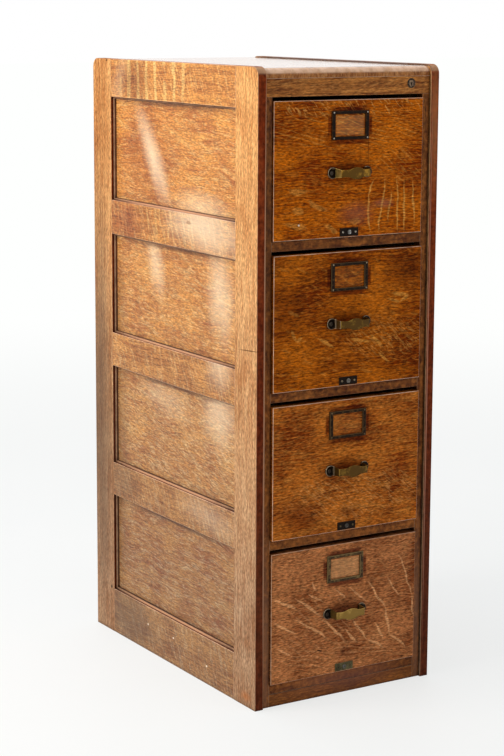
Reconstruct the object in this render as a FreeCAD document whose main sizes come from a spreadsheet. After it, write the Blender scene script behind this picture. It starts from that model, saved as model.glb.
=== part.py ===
"""Oak filing cabinet with four drawers.

The frame is +Z up, with the drawers opening towards -Y and +X to the right
of somebody who stands in front. The origin is on the floor, in the middle of
the whole outline, pulls included. Lengths are in millimetres.
"""
import FreeCAD, Part
import os
from dataclasses import dataclass
from types import SimpleNamespace

import Sketcher

Vector = FreeCAD.Vector
Rotation = FreeCAD.Rotation
Placement = FreeCAD.Placement

# Driving sizes, each written once
SIZES = {
    # Outline of the cabinet
    "cabinet_width": 442,
    "cabinet_height": 1320,
    "cabinet_depth": 704,
    "corner_radius": 20,
    "arris_radius": 1.2,
    # Framed sides, with stiles, rails and panels in grooves
    "side_thickness": 20,
    "side_stile_width": 85,
    "side_top_rail": 83.5,
    "side_middle_rail": 76,
    "side_bottom_rail": 103,
    "top_panel_extra": 4.5,
    "groove_depth": 8,
    "panel_thickness": 6,
    "panel_recess": 11,
    "panel_play": 0.2,
    "bead_width": 5,
    "bead_setback": 4.7,
    "bead_joint_play": 0.1,
    # Framed back
    "back_thickness": 20,
    "back_stile_width": 70,
    # Top board and the rail under it
    "top_step": 3,
    "top_thickness": 21,
    "nose_radius": 16,
    "top_rail_height": 36,
    # Face stiles, dividers and plinth
    "face_setback": 6.5,
    "face_stile_width": 17.5,
    "face_thickness": 21,
    "divider_height": 20,
    "divider_depth": 49,
    "plinth_height": 28,
    "plinth_gap": 0.8,
    # Runners that carry the drawers
    "runner_width": 51,
    "guide_height": 25,
    "guide_play": 1.0,
    "runner_play": 0.3,
    # Drawer boxes
    "front_thickness": 22,
    "front_setback": 2,
    "front_side_gap": 1.0,
    "front_bottom_gap": 1.0,
    "front_top_gap": 8,
    "front_arris": 1.8,
    "box_inset": 14,
    "box_side_thickness": 12,
    "box_side_drop": 2,
    "box_housing": 10,
    "box_back_thickness": 12,
    "box_back_inset": 10,
    "box_back_housing": 4,
    "box_back_drop": 15,
    "box_back_play": 0.5,
    "bottom_thickness": 4,
    "bottom_rebate": 5,
    "bottom_lap": 8,
    # How far each drawer stands ajar at rest, from the top down
    "ajar_first": 0,
    "ajar_second": 3.5,
    "ajar_third": 4,
    "ajar_fourth": 1.5,
    # Strap pulls
    "pull_drop": 147,
    "pull_foot_centre": 42.5,
    "pull_foot_radius": 11.5,
    "pull_foot_thickness": 2.5,
    "pull_screw_centre": 45.5,
    "pull_length": 74,
    "pull_reach": 28,
    "pull_bow": 2,
    "pull_thickness": 2.4,
    "pull_bend": 1.2,
    "pull_middle_width": 24.5,
    "pull_shoulder_width": 20,
    "pull_shoulder_place": 11,
    "pull_waist_width": 14.6,
    "pull_waist_place": 23,
    "pull_end_width": 15.6,
    "pull_leg_width": 20.5,
    # Card frames
    "card_drop": 22.5,
    "card_width": 91,
    "card_height": 58,
    "card_side_bar": 9,
    "card_end_bar": 6.5,
    "card_thickness": 3,
    "card_slot_depth": 1.0,
    "card_slot_lip": 4,
    "card_bevel": 1.2,
    # Plate at the foot of each drawer front, and the rod that starts there
    "plate_rise": 2,
    "plate_width": 45,
    "plate_height": 17,
    "plate_thickness": 1.6,
    "plate_bevel": 0.5,
    "plate_screw_inset": 7,
    "rod_height": 10.5,
    "rod_radius": 3,
    "rod_play": 0.06,
    "rod_head_radius": 4.6,
    "rod_head_height": 1.4,
    "rod_dimple_radius": 2.1,
    "rod_dimple_depth": 0.8,
    # Follower blocks on the rods
    "follower_side_play": 11.5,
    "follower_height": 205,
    "follower_thickness": 15,
    "follower_lift": 4.6,
    "follower_foot_width": 60,
    "follower_foot_length": 60,
    "follower_foot_height": 34,
    "follower_rest": 20,
    # Lock in the top rail
    "lock_inset": 29,
    "lock_rise": 22,
    "lock_case_radius": 10,
    "lock_plug_radius": 6.5,
    "lock_proud": 0.6,
    "lock_play": 0.08,
    "keyhole_radius": 1.7,
    "keyway_width": 1.6,
    "keyway_drop": 5,
    "keyway_depth": 10,
    "cam_setback": 2,
    "cam_thickness": 3,
    "cam_width": 8,
    "cam_pin_radius": 1.5,
    "cam_pin_play": 0.6,
    # Lock bar behind the right face stile, and the strikes on the drawers
    "bar_lift": 14,
    "bar_setback": 6.5,
    "bar_inset": 2.5,
    "bar_width": 12,
    "bar_thickness": 4,
    "bar_play": 0.5,
    "bar_arm_height": 6,
    "bar_slot_wall": 3,
    "finger_width": 5,
    "finger_height": 13,
    "finger_play": 0.8,
    "finger_headroom": 2,
    "strike_gap": 2,
    "strike_rise": 120,
    "strike_thickness": 3,
    "strike_width": 11,
    "strike_reach": 23,
    "strike_hole_start": 6,
    "strike_hole_length": 13,
    "strike_flange_height": 28,
    "strike_screw_low": 9,
    "strike_screw_high": 21,
    # Screws and pins
    "screw_head_height": 1.4,
    "screw_length": 12,
    "screw_slot_width": 0.9,
    "screw_slot_depth": 0.7,
    "pull_screw_radius": 4.2,
    "plate_screw_radius": 2.4,
    "card_pin_radius": 1.9,
    "pull_shank_radius": 1.9,
    "pin_shank_radius": 0.9,
}

doc = FreeCAD.newDocument("filing_cabinet")
sheet = doc.addObject("Spreadsheet::Sheet", "Sizes")
for row, (alias, value) in enumerate(SIZES.items(), start=1):
    sheet.set("A%d" % row, alias)
    sheet.set("B%d" % row, str(value))
    sheet.setAlias("B%d" % row, alias)
doc.recompute()


class Length:
    """A length kept as an expression over the sheet, so that a changed cell moves it."""

    def __init__(self, expression):
        self.expression = str(expression)

    def __str__(self):
        return self.expression

    def __add__(self, other):
        return Length("(%s + %s)" % (self, other))

    def __sub__(self, other):
        return Length("(%s - %s)" % (self, other))

    def __rsub__(self, other):
        return Length("(%s - %s)" % (other, self))

    def __mul__(self, other):
        return Length("(%s * %s)" % (self, other))

    __radd__ = __add__
    __rmul__ = __mul__

    def __truediv__(self, other):
        return Length("(%s / %s)" % (self, other))

    def __neg__(self):
        return Length("(-%s)" % self)

    @property
    def value(self):
        """What it comes to, in millimetres."""
        return float(sheet.evalExpression(self.expression))


def largest(*lengths):
    """The largest of some lengths."""
    return Length("max(%s)" % "; ".join(str(length) for length in lengths))


size = SimpleNamespace(**{alias: Length("Sizes." + alias) for alias in SIZES})

# Steps count from the floor up: rail 0 to rail 4, and a panel or a bay above each of 0 to 3
RAILS = (0, 1, 2, 3, 4)
BAYS = (0, 1, 2, 3)
DRAWERS = (1, 2, 3, 4)
AJAR = (size.ajar_first, size.ajar_second, size.ajar_third, size.ajar_fourth)

# Planes that many pieces share
PULL_STAND = size.pull_reach - size.front_setback + largest(*AJAR)
FRONT_Y = (PULL_STAND - size.cabinet_depth) / 2
BACK_Y = FRONT_Y + size.cabinet_depth
BACK_FACE_Y = BACK_Y - size.back_thickness
FACE_Y = FRONT_Y + size.face_setback
FACE_BACK_Y = FACE_Y + size.face_thickness
RUNNER_Y = FACE_BACK_Y + size.divider_depth
HALF = size.cabinet_width / 2
INNER = HALF - size.side_thickness
OPENING = INNER - size.face_stile_width
TOP_Z = size.cabinet_height - size.top_step - size.top_thickness
RAIL_Z = TOP_Z - size.top_rail_height
PITCH = (RAIL_Z - size.plinth_height) / 4
RAILS_TALL = size.side_top_rail + size.side_bottom_rail + 3 * size.side_middle_rail
PANEL_TALL = (size.cabinet_height - RAILS_TALL - size.top_panel_extra) / 4

# Drawer boxes, measured from the middle of a front's lower edge
FRONT_HALF = OPENING - size.front_side_gap
FRONT_TALL = PITCH - size.divider_height - size.front_bottom_gap - size.front_top_gap
BOX_HALF = FRONT_HALF - size.box_inset
BOX_INNER = BOX_HALF - size.box_side_thickness
BOX_LONG = size.cabinet_depth - size.back_thickness - size.front_setback - size.box_back_play
BOX_FOOT = size.runner_play - size.front_bottom_gap
BOX_TOP = FRONT_TALL - size.box_side_drop
BACK_BOARD_Y = BOX_LONG - size.box_back_inset - size.box_back_thickness
PULL_Z = FRONT_TALL - size.pull_drop
CARD_Z = FRONT_TALL - size.card_drop - size.card_height
STRIKE_X = OPENING - size.strike_gap - size.strike_width

# Lock: at rest the cam pin points down and to the right, and half a right angle each way lifts the bar
CAM_TURN = 45
CAM_RADIUS = size.bar_lift / 2 * Length("sqrt(2)")
LOCK_X = OPENING - size.lock_inset
LOCK_Y = FACE_Y - size.lock_proud
LOCK_Z = RAIL_Z + size.lock_rise
BAR_X = OPENING + size.bar_inset
BAR_Y = FACE_BACK_Y + size.bar_setback
FINGER_X = STRIKE_X + (size.strike_width - size.finger_width) / 2


def level(step):
    """Underside of a divider: step 0 is the lowest, step 4 the top rail."""
    return size.plinth_height + PITCH * step


def rail_low(step):
    """Lower edge of a rail of the panelled frames."""
    if step == 0:
        return Length(0)
    rise = size.side_bottom_rail + PANEL_TALL * step + size.side_middle_rail * (step - 1)
    return rise + size.top_panel_extra if step == 4 else rise


def rail_high(step):
    """Upper edge of a rail under a panel."""
    return rail_low(step) + (size.side_bottom_rail if step == 0 else size.side_middle_rail)


nodes = {}


def bind(piece, **lengths):
    """Ties properties of a piece to the sheet, x, y and z being its place."""
    for name, length in lengths.items():
        path = "Placement.Base." + name if name in ("x", "y", "z") else name
        piece.setExpression(path, str(length))
    return piece


def block(name, low, lengths):
    """A rectangular block from its low corner and its three lengths."""
    piece = doc.addObject("Part::Box", name)
    bind(piece, x=low[0], y=low[1], z=low[2])
    return bind(piece, Length=lengths[0], Width=lengths[1], Height=lengths[2])


def turn(piece, axis, degrees):
    """Turns a piece about its own origin."""
    piece.Placement = Placement(piece.Placement.Base, Rotation(axis, degrees))
    return piece


X_AXIS, Y_AXIS, Z_AXIS = Vector(1, 0, 0), Vector(0, 1, 0), Vector(0, 0, 1)


def rod(name, start, radius, length):
    """A cylinder along +Y from the centre of its front end."""
    piece = turn(doc.addObject("Part::Cylinder", name), X_AXIS, -90)
    return bind(piece, x=start[0], y=start[1], z=start[2], Radius=radius, Height=length)


def tapered_disc(name, start, radii, length):
    """A disc along +Y from the centre of its front face, with a front and a rear radius."""
    piece = turn(doc.addObject("Part::Cone", name), X_AXIS, -90)
    bind(piece, x=start[0], y=start[1], z=start[2])
    return bind(piece, Radius1=radii[0], Radius2=radii[1], Height=length)


def wedge(name, near, far, length):
    """A block along +Y from its own origin: (low x, high x, low z, high z) at both ends."""
    piece = doc.addObject("Part::Wedge", name)
    bind(piece, Ymin=0, Ymax=length, Xmin=near[0], Xmax=near[1], Zmin=near[2], Zmax=near[3])
    return bind(piece, X2min=far[0], X2max=far[1], Z2min=far[2], Z2max=far[3])


def cut(name, base, *tools):
    """One piece with others taken out of it."""
    piece = doc.addObject("Part::Cut", name)
    piece.Base = base
    piece.Tool = tools[0] if len(tools) == 1 else group(name + "_tools", *tools)
    return piece


def fuse(name, *pieces):
    """Pieces that are one solid in the real object."""
    piece = doc.addObject("Part::MultiFuse", name)
    piece.Shapes = list(pieces)
    piece.Refine = True
    return piece


def group(name, *pieces):
    """Separate solids kept under one name."""
    piece = doc.addObject("Part::Compound", name)
    piece.Links = list(pieces)
    return piece


def mirror(name, piece):
    """The same piece for the other side of the cabinet."""
    other = doc.addObject("Part::Mirroring", name)
    other.Source = piece
    other.Normal = X_AXIS
    return other


def keep(node, piece):
    """Gives a finished sub-part its name."""
    piece.Label = node
    nodes[node] = piece


def outline(body, name, plane, *loops):
    """A sketch of closed loops, each a list of corners, right of and above the origin."""
    sketch = body.newObject("Sketcher::SketchObject", name)
    support = [item for item in body.Origin.OriginFeatures if item.Role == plane]
    sketch.AttachmentSupport = [(support[0], "")]
    sketch.MapMode = "FlatFace"
    for corners in loops:
        add_loop(sketch, corners)
    return sketch


def add_loop(sketch, corners):
    """Draws one closed loop and ties every corner to the sheet."""
    first = sketch.GeometryCount
    count = len(corners)
    places = [Vector(Length(across).value, Length(up).value, 0) for across, up in corners]
    for index in range(count):
        sketch.addGeometry(Part.LineSegment(places[index], places[(index + 1) % count]))
    for index in range(count):
        before = first + (index - 1) % count
        sketch.addConstraint(Sketcher.Constraint("Coincident", before, 2, first + index, 1))
    for index, (across, up) in enumerate(corners):
        pin_corner(sketch, first + index, "DistanceX", -2, across)
        pin_corner(sketch, first + index, "DistanceY", -1, up)


def pin_corner(sketch, line, kind, axis, length):
    """Holds the start of a line at one distance from the sketch's origin, or on its axis."""
    if str(length) == "0":
        sketch.addConstraint(Sketcher.Constraint("PointOnObject", line, 1, axis))
        return
    rule = sketch.addConstraint(Sketcher.Constraint(kind, -1, 1, line, 1, length.value))
    sketch.setExpression("Constraints[%d]" % rule, str(length))


def rectangle(low, lengths):
    """The corners of a rectangle, from its low corner and two lengths."""
    right = lengths[0] + low[0] if low[0] else lengths[0]
    top = lengths[1] + low[1] if low[1] else lengths[1]
    return [low, (right, low[1]), (right, top), (low[0], top)]


def pad(body, name, sketch, length, backwards=False):
    """Raises a sketch into a solid; backwards from an upright sketch is towards +Y."""
    feature = body.newObject("PartDesign::Pad", name)
    feature.Profile = sketch
    feature.Reversed = backwards
    feature.setExpression("Length", str(length))
    doc.recompute()
    return feature


def edges_on(shape, *sides):
    """Names of the edges that lie in all the given sides of a shape's box, such as ZMax."""
    found = []
    for index, edge in enumerate(shape.Edges, start=1):
        if all(lies_on(edge, shape.BoundBox, side) for side in sides):
            found.append("Edge%d" % index)
    return found


def lies_on(edge, bounds, side):
    """True where an edge lies in one side of a box."""
    place = getattr(bounds, side)
    ends = (getattr(edge.BoundBox, side[0] + "Min"), getattr(edge.BoundBox, side[0] + "Max"))
    return all(abs(end - place) < 1e-4 for end in ends)


def soften(body, name, kind, base, edge_names, amount):
    """Rounds (Fillet) or bevels (Chamfer) edges of a body's last feature."""
    feature = body.newObject("PartDesign::" + kind, name)
    feature.Base = (base, edge_names)
    feature.setExpression("Radius" if kind == "Fillet" else "Size", str(amount))
    doc.recompute()
    return feature


# Framed sides and back


@dataclass(frozen=True)
class Framing:
    """A panelled frame: the axis its rails run along, their stretch, and its depth."""

    name: str
    run: int
    start: Length
    length: Length
    face: Length
    thickness: Length
    groove: Length
    top: Length

    def piece(self, name, along, up, through):
        """A block from its (start, length) along the rails, upwards and through the frame."""
        low, lengths = [None] * 3, [None] * 3
        for axis, (start, length) in ((self.run, along), (2, up), (1 - self.run, through)):
            low[axis] = start
            lengths[axis] = length
        return block("%s_%s" % (self.name, name), low, lengths)

    def rail(self, step):
        """A rail with stub tongues on its ends and a groove along each panel."""
        low = rail_low(step)
        high = self.top if step == 4 else rail_high(step)
        deep = size.groove_depth
        along = (self.start, self.length)
        groove = (self.groove, size.panel_thickness)
        board = self.piece("board_%d" % step, along, (low, high - low), (self.face, self.thickness))
        tongue_low, tongue_high, grooves = low, high, []
        if step > 0:
            grooves.append(self.piece("lower_groove_%d" % step, along, (low, deep), groove))
            tongue_low = low + deep
        if step < 4:
            grooves.append(self.piece("upper_groove_%d" % step, along, (high - deep, deep), groove))
            tongue_high = high - deep
        tongue = self.piece("tongue_%d" % step, (self.start - deep, self.length + 2 * deep),
                            (tongue_low, tongue_high - tongue_low), groove)
        grooved = cut("%s_grooved_%d" % (self.name, step), board, *grooves)
        return fuse("%s_rail_%d" % (self.name, step), grooved, tongue)

    def panel(self, step):
        """A thin panel that reaches into the grooves round it, with a little play."""
        reach = size.groove_depth - size.panel_play
        low = rail_high(step)
        return self.piece("panel_%d" % step, (self.start - reach, self.length + 2 * reach),
                          (low - reach, rail_low(step + 1) - low + 2 * reach),
                          (self.groove + size.panel_play / 2, size.panel_thickness - size.panel_play))


def side_stile(name, front):
    """An upright of a side: a grooved section, rounded at its outer top corner."""
    body = doc.addObject("PartDesign::Body", name)
    wide, thick = size.side_stile_width, size.side_thickness
    near, far = size.panel_recess, size.panel_recess + size.panel_thickness
    if front:
        deep = wide - size.groove_depth
        corners = [(0, 0), (thick, 0), (thick, wide), (far, wide),
                   (far, deep), (near, deep), (near, wide), (0, wide)]
    else:
        deep = size.groove_depth
        corners = [(0, 0), (near, 0), (near, deep), (far, deep),
                   (far, 0), (thick, 0), (thick, wide), (0, wide)]
    outer = "YMin" if front else "YMax"
    section = outline(body, name + "_section", "XY_Plane", corners)
    upright = pad(body, name + "_upright", section, size.cabinet_height)
    corner = soften(body, name + "_corner", "Fillet", upright,
                    edges_on(upright.Shape, outer, "ZMax"), size.corner_radius)
    arrises = edges_on(corner.Shape, outer, "XMin") + edges_on(corner.Shape, outer, "XMax")
    soften(body, name + "_arris", "Fillet", corner, arrises, size.arris_radius)
    return bind(body, x=-HALF, y=FRONT_Y if front else BACK_Y - wide)


def bead_strip(name, place, axes, length):
    """A mitred strip that runs along the first axis, its long edge against the frame."""
    wide, thick = size.bead_width, size.panel_recess - size.bead_setback
    start, end = size.bead_joint_play / 2, length - size.bead_joint_play / 2
    strip = wedge(name, (start, end, 0, thick), (start + wide, end - wide, 0, thick), wide)
    strip.Placement = Placement(Vector(), Rotation(*axes, "XYZ"))
    return bind(strip, x=place[0], y=place[1], z=place[2])


def bead_ring(step, low_y, length):
    """Four strips round the outer face of one panel of the left side."""
    outer, inner = size.bead_setback - HALF, size.panel_recess - HALF
    low_z, high_z = rail_high(step), rail_low(step + 1)
    tall = high_z - low_z
    name = "bead_%d_" % step
    return [
        bead_strip(name + "lower", (outer, low_y, low_z), (Y_AXIS, Z_AXIS, X_AXIS), length),
        bead_strip(name + "upper", (inner, low_y, high_z), (Y_AXIS, -Z_AXIS, -X_AXIS), length),
        bead_strip(name + "front", (inner, low_y, low_z), (Z_AXIS, Y_AXIS, -X_AXIS), tall),
        bead_strip(name + "rear", (outer, low_y + length, low_z), (Z_AXIS, -Y_AXIS, X_AXIS), tall),
    ]


def make_sides():
    """Both framed sides, the right one a mirror of the left."""
    wide = size.side_stile_width
    side = Framing("side", 1, FRONT_Y + wide, size.cabinet_depth - 2 * wide, -HALF,
                   size.side_thickness, size.panel_recess - HALF, size.cabinet_height)
    left = {
        "stiles": (side_stile("front_stile", True), side_stile("rear_stile", False)),
        "rails": [side.rail(step) for step in RAILS],
        "panels": [side.panel(step) for step in BAYS],
    }
    for word, pieces in left.items():
        master = group("left_" + word, *pieces)
        keep("left_side_" + word, master)
        keep("right_side_" + word, mirror("right_" + word, master))
    strips = [strip for step in BAYS for strip in bead_ring(step, side.start, side.length)]
    beads = group("left_beads", *strips)
    keep("panel_beads", group("both_beads", beads, mirror("right_beads", beads)))


def make_back():
    """A framed back between the sides, with its rails at the height of the side rails."""
    wide, deep = size.back_stile_width, size.groove_depth
    groove_y = BACK_Y - size.panel_recess - size.panel_thickness
    back = Framing("back", 0, wide - INNER, 2 * (INNER - wide), BACK_FACE_Y,
                   size.back_thickness, groove_y, TOP_Z)
    stile = cut("back_stile",
                block("back_stile_board", (-INNER, BACK_FACE_Y, 0), (wide, size.back_thickness, TOP_Z)),
                block("back_stile_groove", (back.start - deep, groove_y, 0), (deep, size.panel_thickness, TOP_Z)))
    rails = [back.rail(step) for step in RAILS]
    keep("back_frame", group("back_framing", stile, mirror("back_right_stile", stile), *rails))
    keep("back_panels", group("back_filling", *[back.panel(step) for step in BAYS]))


# Top, face frame and what carries the drawers


def make_top():
    """The top board with its rounded nose, and under it the rail that is bored for the lock."""
    body = doc.addObject("PartDesign::Body", "top_slab")
    wide = 2 * INNER
    plan = outline(body, "top_plan", "XY_Plane", rectangle((0, 0), (wide, BACK_Y - FACE_Y)))
    slab = pad(body, "top_pad", plan, size.top_thickness)
    nose = soften(body, "top_nose", "Fillet", slab, edges_on(slab.Shape, "YMin", "ZMax"), size.nose_radius)
    soften(body, "top_lower_arris", "Fillet", nose, edges_on(nose.Shape, "YMin", "ZMin"), size.arris_radius)
    keep("top_board", bind(body, x=-INNER, y=FACE_Y, z=TOP_Z))
    rail = block("top_rail_board", (-INNER, FACE_Y, RAIL_Z), (wide, size.face_thickness, size.top_rail_height))
    bore = rod("top_rail_bore", (LOCK_X, FACE_Y, LOCK_Z), size.lock_case_radius, size.face_thickness)
    keep("top_rail", cut("top_rail_bored", rail, bore))


def make_face():
    """Face stiles, plinth, and the dividers with a slot each for the lock bar."""
    thick = size.face_thickness
    stile = block("left_face_stile", (-INNER, FACE_Y, 0), (size.face_stile_width, thick, RAIL_Z))
    keep("face_stiles", group("face_stile_pair", stile, mirror("right_face_stile", stile)))
    keep("plinth_rail", block("plinth_board", (-OPENING, FACE_Y, 0),
                              (2 * OPENING, thick, size.plinth_height - size.plinth_gap)))
    keep("divider_rails", group("dividers", *[divider(step) for step in BAYS]))


def divider(step):
    """A rail between two bays: a nose between the face stiles and a wider part behind them."""
    low = level(step)
    nose = block("divider_nose_%d" % step, (-OPENING, FACE_Y, low),
                 (2 * OPENING, size.face_thickness, size.divider_height))
    rear = block("divider_rear_%d" % step, (-INNER, FACE_BACK_Y, low),
                 (2 * INNER, size.divider_depth, size.divider_height))
    whole = fuse("divider_%d" % step, nose, rear)
    if step == 0:
        return whole
    play = size.bar_play
    slot = block("divider_slot_%d" % step, (BAR_X - play, BAR_Y - play, low),
                 (size.bar_width + 2 * play, size.bar_thickness + 2 * play, size.divider_height))
    return cut("divider_slotted_%d" % step, whole, slot)


def make_runners():
    """Rebated runners under and beside the drawers, and kickers over the top drawer."""
    length = BACK_FACE_Y - RUNNER_Y
    low_x = INNER - size.runner_width
    guide_x = BOX_HALF + size.guide_play
    runners = []
    for step in BAYS:
        base = block("runner_base_%d" % step, (low_x, RUNNER_Y, level(step)),
                     (size.runner_width, length, size.divider_height))
        guide = block("runner_guide_%d" % step, (guide_x, RUNNER_Y, level(step)),
                      (INNER - guide_x, length, size.divider_height + size.guide_height))
        runners.append(fuse("runner_%d" % step, base, guide))
    right = group("right_runners", *runners)
    keep("drawer_runners", group("both_runners", right, mirror("left_runners", right)))
    kicker = block("right_kicker", (low_x, RUNNER_Y, RAIL_Z),
                   (size.runner_width, length, size.divider_height))
    keep("top_kickers", group("kicker_pair", kicker, mirror("left_kicker", kicker)))


# Lock


def make_lock():
    """Lock case, turning plug with its cam pin, and the bar that the pin lifts."""
    start = (LOCK_X, LOCK_Y, LOCK_Z)
    length = size.lock_proud + size.face_thickness
    case = rod("lock_barrel", start, size.lock_case_radius, length)
    bore = rod("lock_bore", start, size.lock_plug_radius + size.lock_play, length)
    keep("lock_case", cut("lock_case_bored", case, bore))
    keep("lock_plug", bind(turned_plug(), x=LOCK_X, y=LOCK_Y, z=LOCK_Z))
    keep("lock_bar", lock_bar())


def turned_plug():
    """The plug with its cam and pin about its own axis, the keyway upright at rest."""
    origin = (0, 0, 0)
    length = size.lock_proud + size.face_thickness + size.cam_setback
    half_key, half_cam = size.keyway_width / 2, size.cam_width / 2
    plug = rod("plug_cylinder", origin, size.lock_plug_radius, length)
    keyhole = rod("plug_keyhole", origin, size.keyhole_radius, size.keyway_depth)
    span = (-half_key, half_key, -size.keyway_drop, 0)
    keyway = turn(wedge("plug_keyway", span, span, size.keyway_depth), Y_AXIS, -CAM_TURN)
    span = (-half_cam, CAM_RADIUS + half_cam, -half_cam, half_cam)
    cam = bind(wedge("plug_cam", span, span, size.cam_thickness), y=length)
    pin_long = size.bar_setback - size.cam_setback - size.cam_thickness + size.bar_thickness + size.bar_play
    pin = rod("plug_pin", (CAM_RADIUS, length + size.cam_thickness, 0), size.cam_pin_radius, pin_long)
    whole = fuse("plug_whole", cut("plug_keyed", plug, keyhole, keyway), cam, pin)
    return turn(group("plug_turned", whole), Y_AXIS, CAM_TURN)


def lock_bar():
    """A flat bar with a slotted arm at the lock, and for each drawer an arm and a finger riveted on."""
    thick, arm_tall = size.bar_thickness, size.bar_arm_height
    slot_half = size.cam_pin_radius + size.cam_pin_play
    slot_z = LOCK_Z - size.bar_lift / 2
    top_z = slot_z + slot_half + size.bar_slot_wall
    foot_z = level(0) + size.divider_height + size.runner_play
    arm_low = slot_z - slot_half - size.bar_slot_wall
    slot_low = LOCK_X + size.bar_lift / 2 - slot_half
    arm_x = slot_low - size.bar_slot_wall
    upright = block("bar_upright", (BAR_X, BAR_Y, foot_z), (size.bar_width, thick, top_z - foot_z))
    arm = block("bar_lock_arm", (arm_x, BAR_Y, arm_low), (BAR_X - arm_x, thick, top_z - arm_low))
    slot = block("bar_slot", (slot_low, BAR_Y, slot_z - slot_half),
                 (CAM_RADIUS - size.bar_lift / 2 + 2 * slot_half, thick, 2 * slot_half))
    pieces = [upright, cut("bar_slotted_arm", arm, slot)]
    for step in BAYS:
        strike_z = level(step) + size.divider_height + size.front_bottom_gap + size.strike_rise
        arm_top = strike_z - size.finger_headroom - size.finger_height
        pieces.append(block("bar_arm_%d" % step, (FINGER_X, BAR_Y, arm_top - arm_tall),
                            (BAR_X - FINGER_X, thick, arm_tall)))
        pieces.append(block("bar_finger_%d" % step, (FINGER_X, BAR_Y, arm_top),
                            (size.finger_width, thick, size.finger_height)))
    return group("bar_assembled", *pieces)


# Drawers: the pieces of one, about the middle of its front's lower edge


def slotted_screw(name, place, radius, shank_radius, from_behind=False):
    """A screw along +Y with a raised slotted head, and its shank alone; place is under the head."""
    tall, slot_deep = size.screw_head_height, size.screw_slot_depth
    head = tapered_disc(name + "_head", (0, -tall, 0), (radius - tall / 2, radius), tall)
    slot = block(name + "_slot", (-radius, -tall, -size.screw_slot_width / 2),
                 (2 * radius, slot_deep, size.screw_slot_width))
    return driven(name, head, slot, place, shank_radius, from_behind)


def dome_pin(name, place, radius, shank_radius):
    """A pin along +Y with a domed head, and its shank alone; place is under the head."""
    head = turn(doc.addObject("Part::Ellipsoid", name + "_head"), X_AXIS, 90)
    head.Angle1 = 0
    bind(head, Radius1=size.screw_head_height, Radius2=radius, Radius3=radius)
    return driven(name, head, None, place, shank_radius, False)


def driven(name, head, slot, place, shank_radius, from_behind):
    """Joins a head to its shank, and puts both where they are driven in."""
    shank = rod(name + "_shank", (0, 0, 0), shank_radius, size.screw_length)
    whole = fuse(name + "_solid", head, shank)
    if slot:
        whole = cut(name + "_slotted", whole, slot)
    placed = []
    for word, piece in (("", whole), ("_hole", group(name + "_core", shank))):
        copy = group(name + word, piece)
        if from_behind:
            turn(copy, Z_AXIS, 180)
        placed.append(bind(copy, x=place[0], y=place[1], z=place[2]))
    return placed


def make_screws():
    """Every screw and pin of a drawer, and by kind the holes that they leave."""
    made, holes = [], {"pull": [], "card": [], "plate": [], "strike": []}

    def add(kind, pair):
        made.append(pair[0])
        holes[kind].append(pair[1])

    card_x = (size.card_width - size.card_side_bar) / 2
    plate_x = size.plate_width / 2 - size.plate_screw_inset
    plate_z = size.plate_rise + size.plate_height / 2
    for word, sign in (("left", -1), ("right", 1)):
        add("pull", slotted_screw("pull_screw_" + word,
                                  (size.pull_screw_centre * sign, -size.pull_foot_thickness, PULL_Z),
                                  size.pull_screw_radius, size.pull_shank_radius))
        add("plate", slotted_screw("plate_screw_" + word, (plate_x * sign, -size.plate_thickness, plate_z),
                                   size.plate_screw_radius, size.pin_shank_radius))
        for end, rise in (("low", size.card_end_bar / 2), ("high", size.card_height - size.card_end_bar / 2)):
            add("card", dome_pin("card_pin_%s_%s" % (word, end), (card_x * sign, -size.card_thickness, CARD_Z + rise),
                                 size.card_pin_radius, size.pin_shank_radius))
    strike_x, strike_y = STRIKE_X + size.strike_width / 2, size.front_thickness + size.strike_thickness
    for end, rise in (("low", size.strike_screw_low), ("high", size.strike_screw_high)):
        add("strike", slotted_screw("strike_screw_" + end, (strike_x, strike_y, size.strike_rise + rise),
                                    size.plate_screw_radius, size.pin_shank_radius, True))
    return made, holes


def drawer_front(holes):
    """The drawer front: a slab with worn arrises, housings for the box and its holes."""
    body = doc.addObject("PartDesign::Body", "front_slab")
    thick = size.front_thickness
    face = outline(body, "front_face", "XZ_Plane", rectangle((0, 0), (2 * FRONT_HALF, FRONT_TALL)))
    slab = pad(body, "front_pad", face, thick, True)
    soften(body, "front_worn_arris", "Fillet", slab, edges_on(slab.Shape, "YMin"), size.front_arris)
    bind(body, x=-FRONT_HALF)
    housing = block("front_housing", (BOX_INNER, thick - size.box_housing, 0),
                    (size.box_side_thickness, size.box_housing, BOX_TOP))
    rebate = block("front_rebate", (-BOX_INNER, thick - size.bottom_lap, 0),
                   (2 * BOX_INNER, size.bottom_lap, size.bottom_thickness))
    rod_hole = rod("front_rod_hole", (0, 0, size.rod_height), size.rod_radius + size.rod_play, thick)
    return cut("front_worked", body, housing, mirror("front_left_housing", housing), rebate, rod_hole,
               *(holes["pull"] + holes["card"] + holes["plate"] + holes["strike"]))


def drawer_box():
    """The two drawer sides, housed in the front, and the back board housed in them."""
    start = size.front_thickness - size.box_housing
    length, tall = BOX_LONG - start, BOX_TOP - size.bottom_thickness
    board = block("box_side_board", (BOX_INNER, start, BOX_FOOT),
                  (size.box_side_thickness, length, BOX_TOP - BOX_FOOT))
    rebate = block("box_side_rebate", (BOX_INNER, start, BOX_FOOT),
                   (size.bottom_rebate, length, size.bottom_thickness - BOX_FOOT))
    housing = block("box_side_housing", (BOX_INNER, BACK_BOARD_Y, size.bottom_thickness),
                    (size.box_back_housing, size.box_back_thickness, tall))
    side = cut("box_side", board, rebate, housing)
    half = BOX_INNER + size.box_back_housing
    board = block("box_back_board", (-half, BACK_BOARD_Y, size.bottom_thickness),
                  (2 * half, size.box_back_thickness, tall - size.box_back_drop))
    hole = rod("box_back_hole", (0, BACK_BOARD_Y, size.rod_height), size.rod_radius + size.rod_play,
               size.box_back_thickness)
    return group("box_boards", side, mirror("box_left_side", side), cut("box_back", board, hole))


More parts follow.
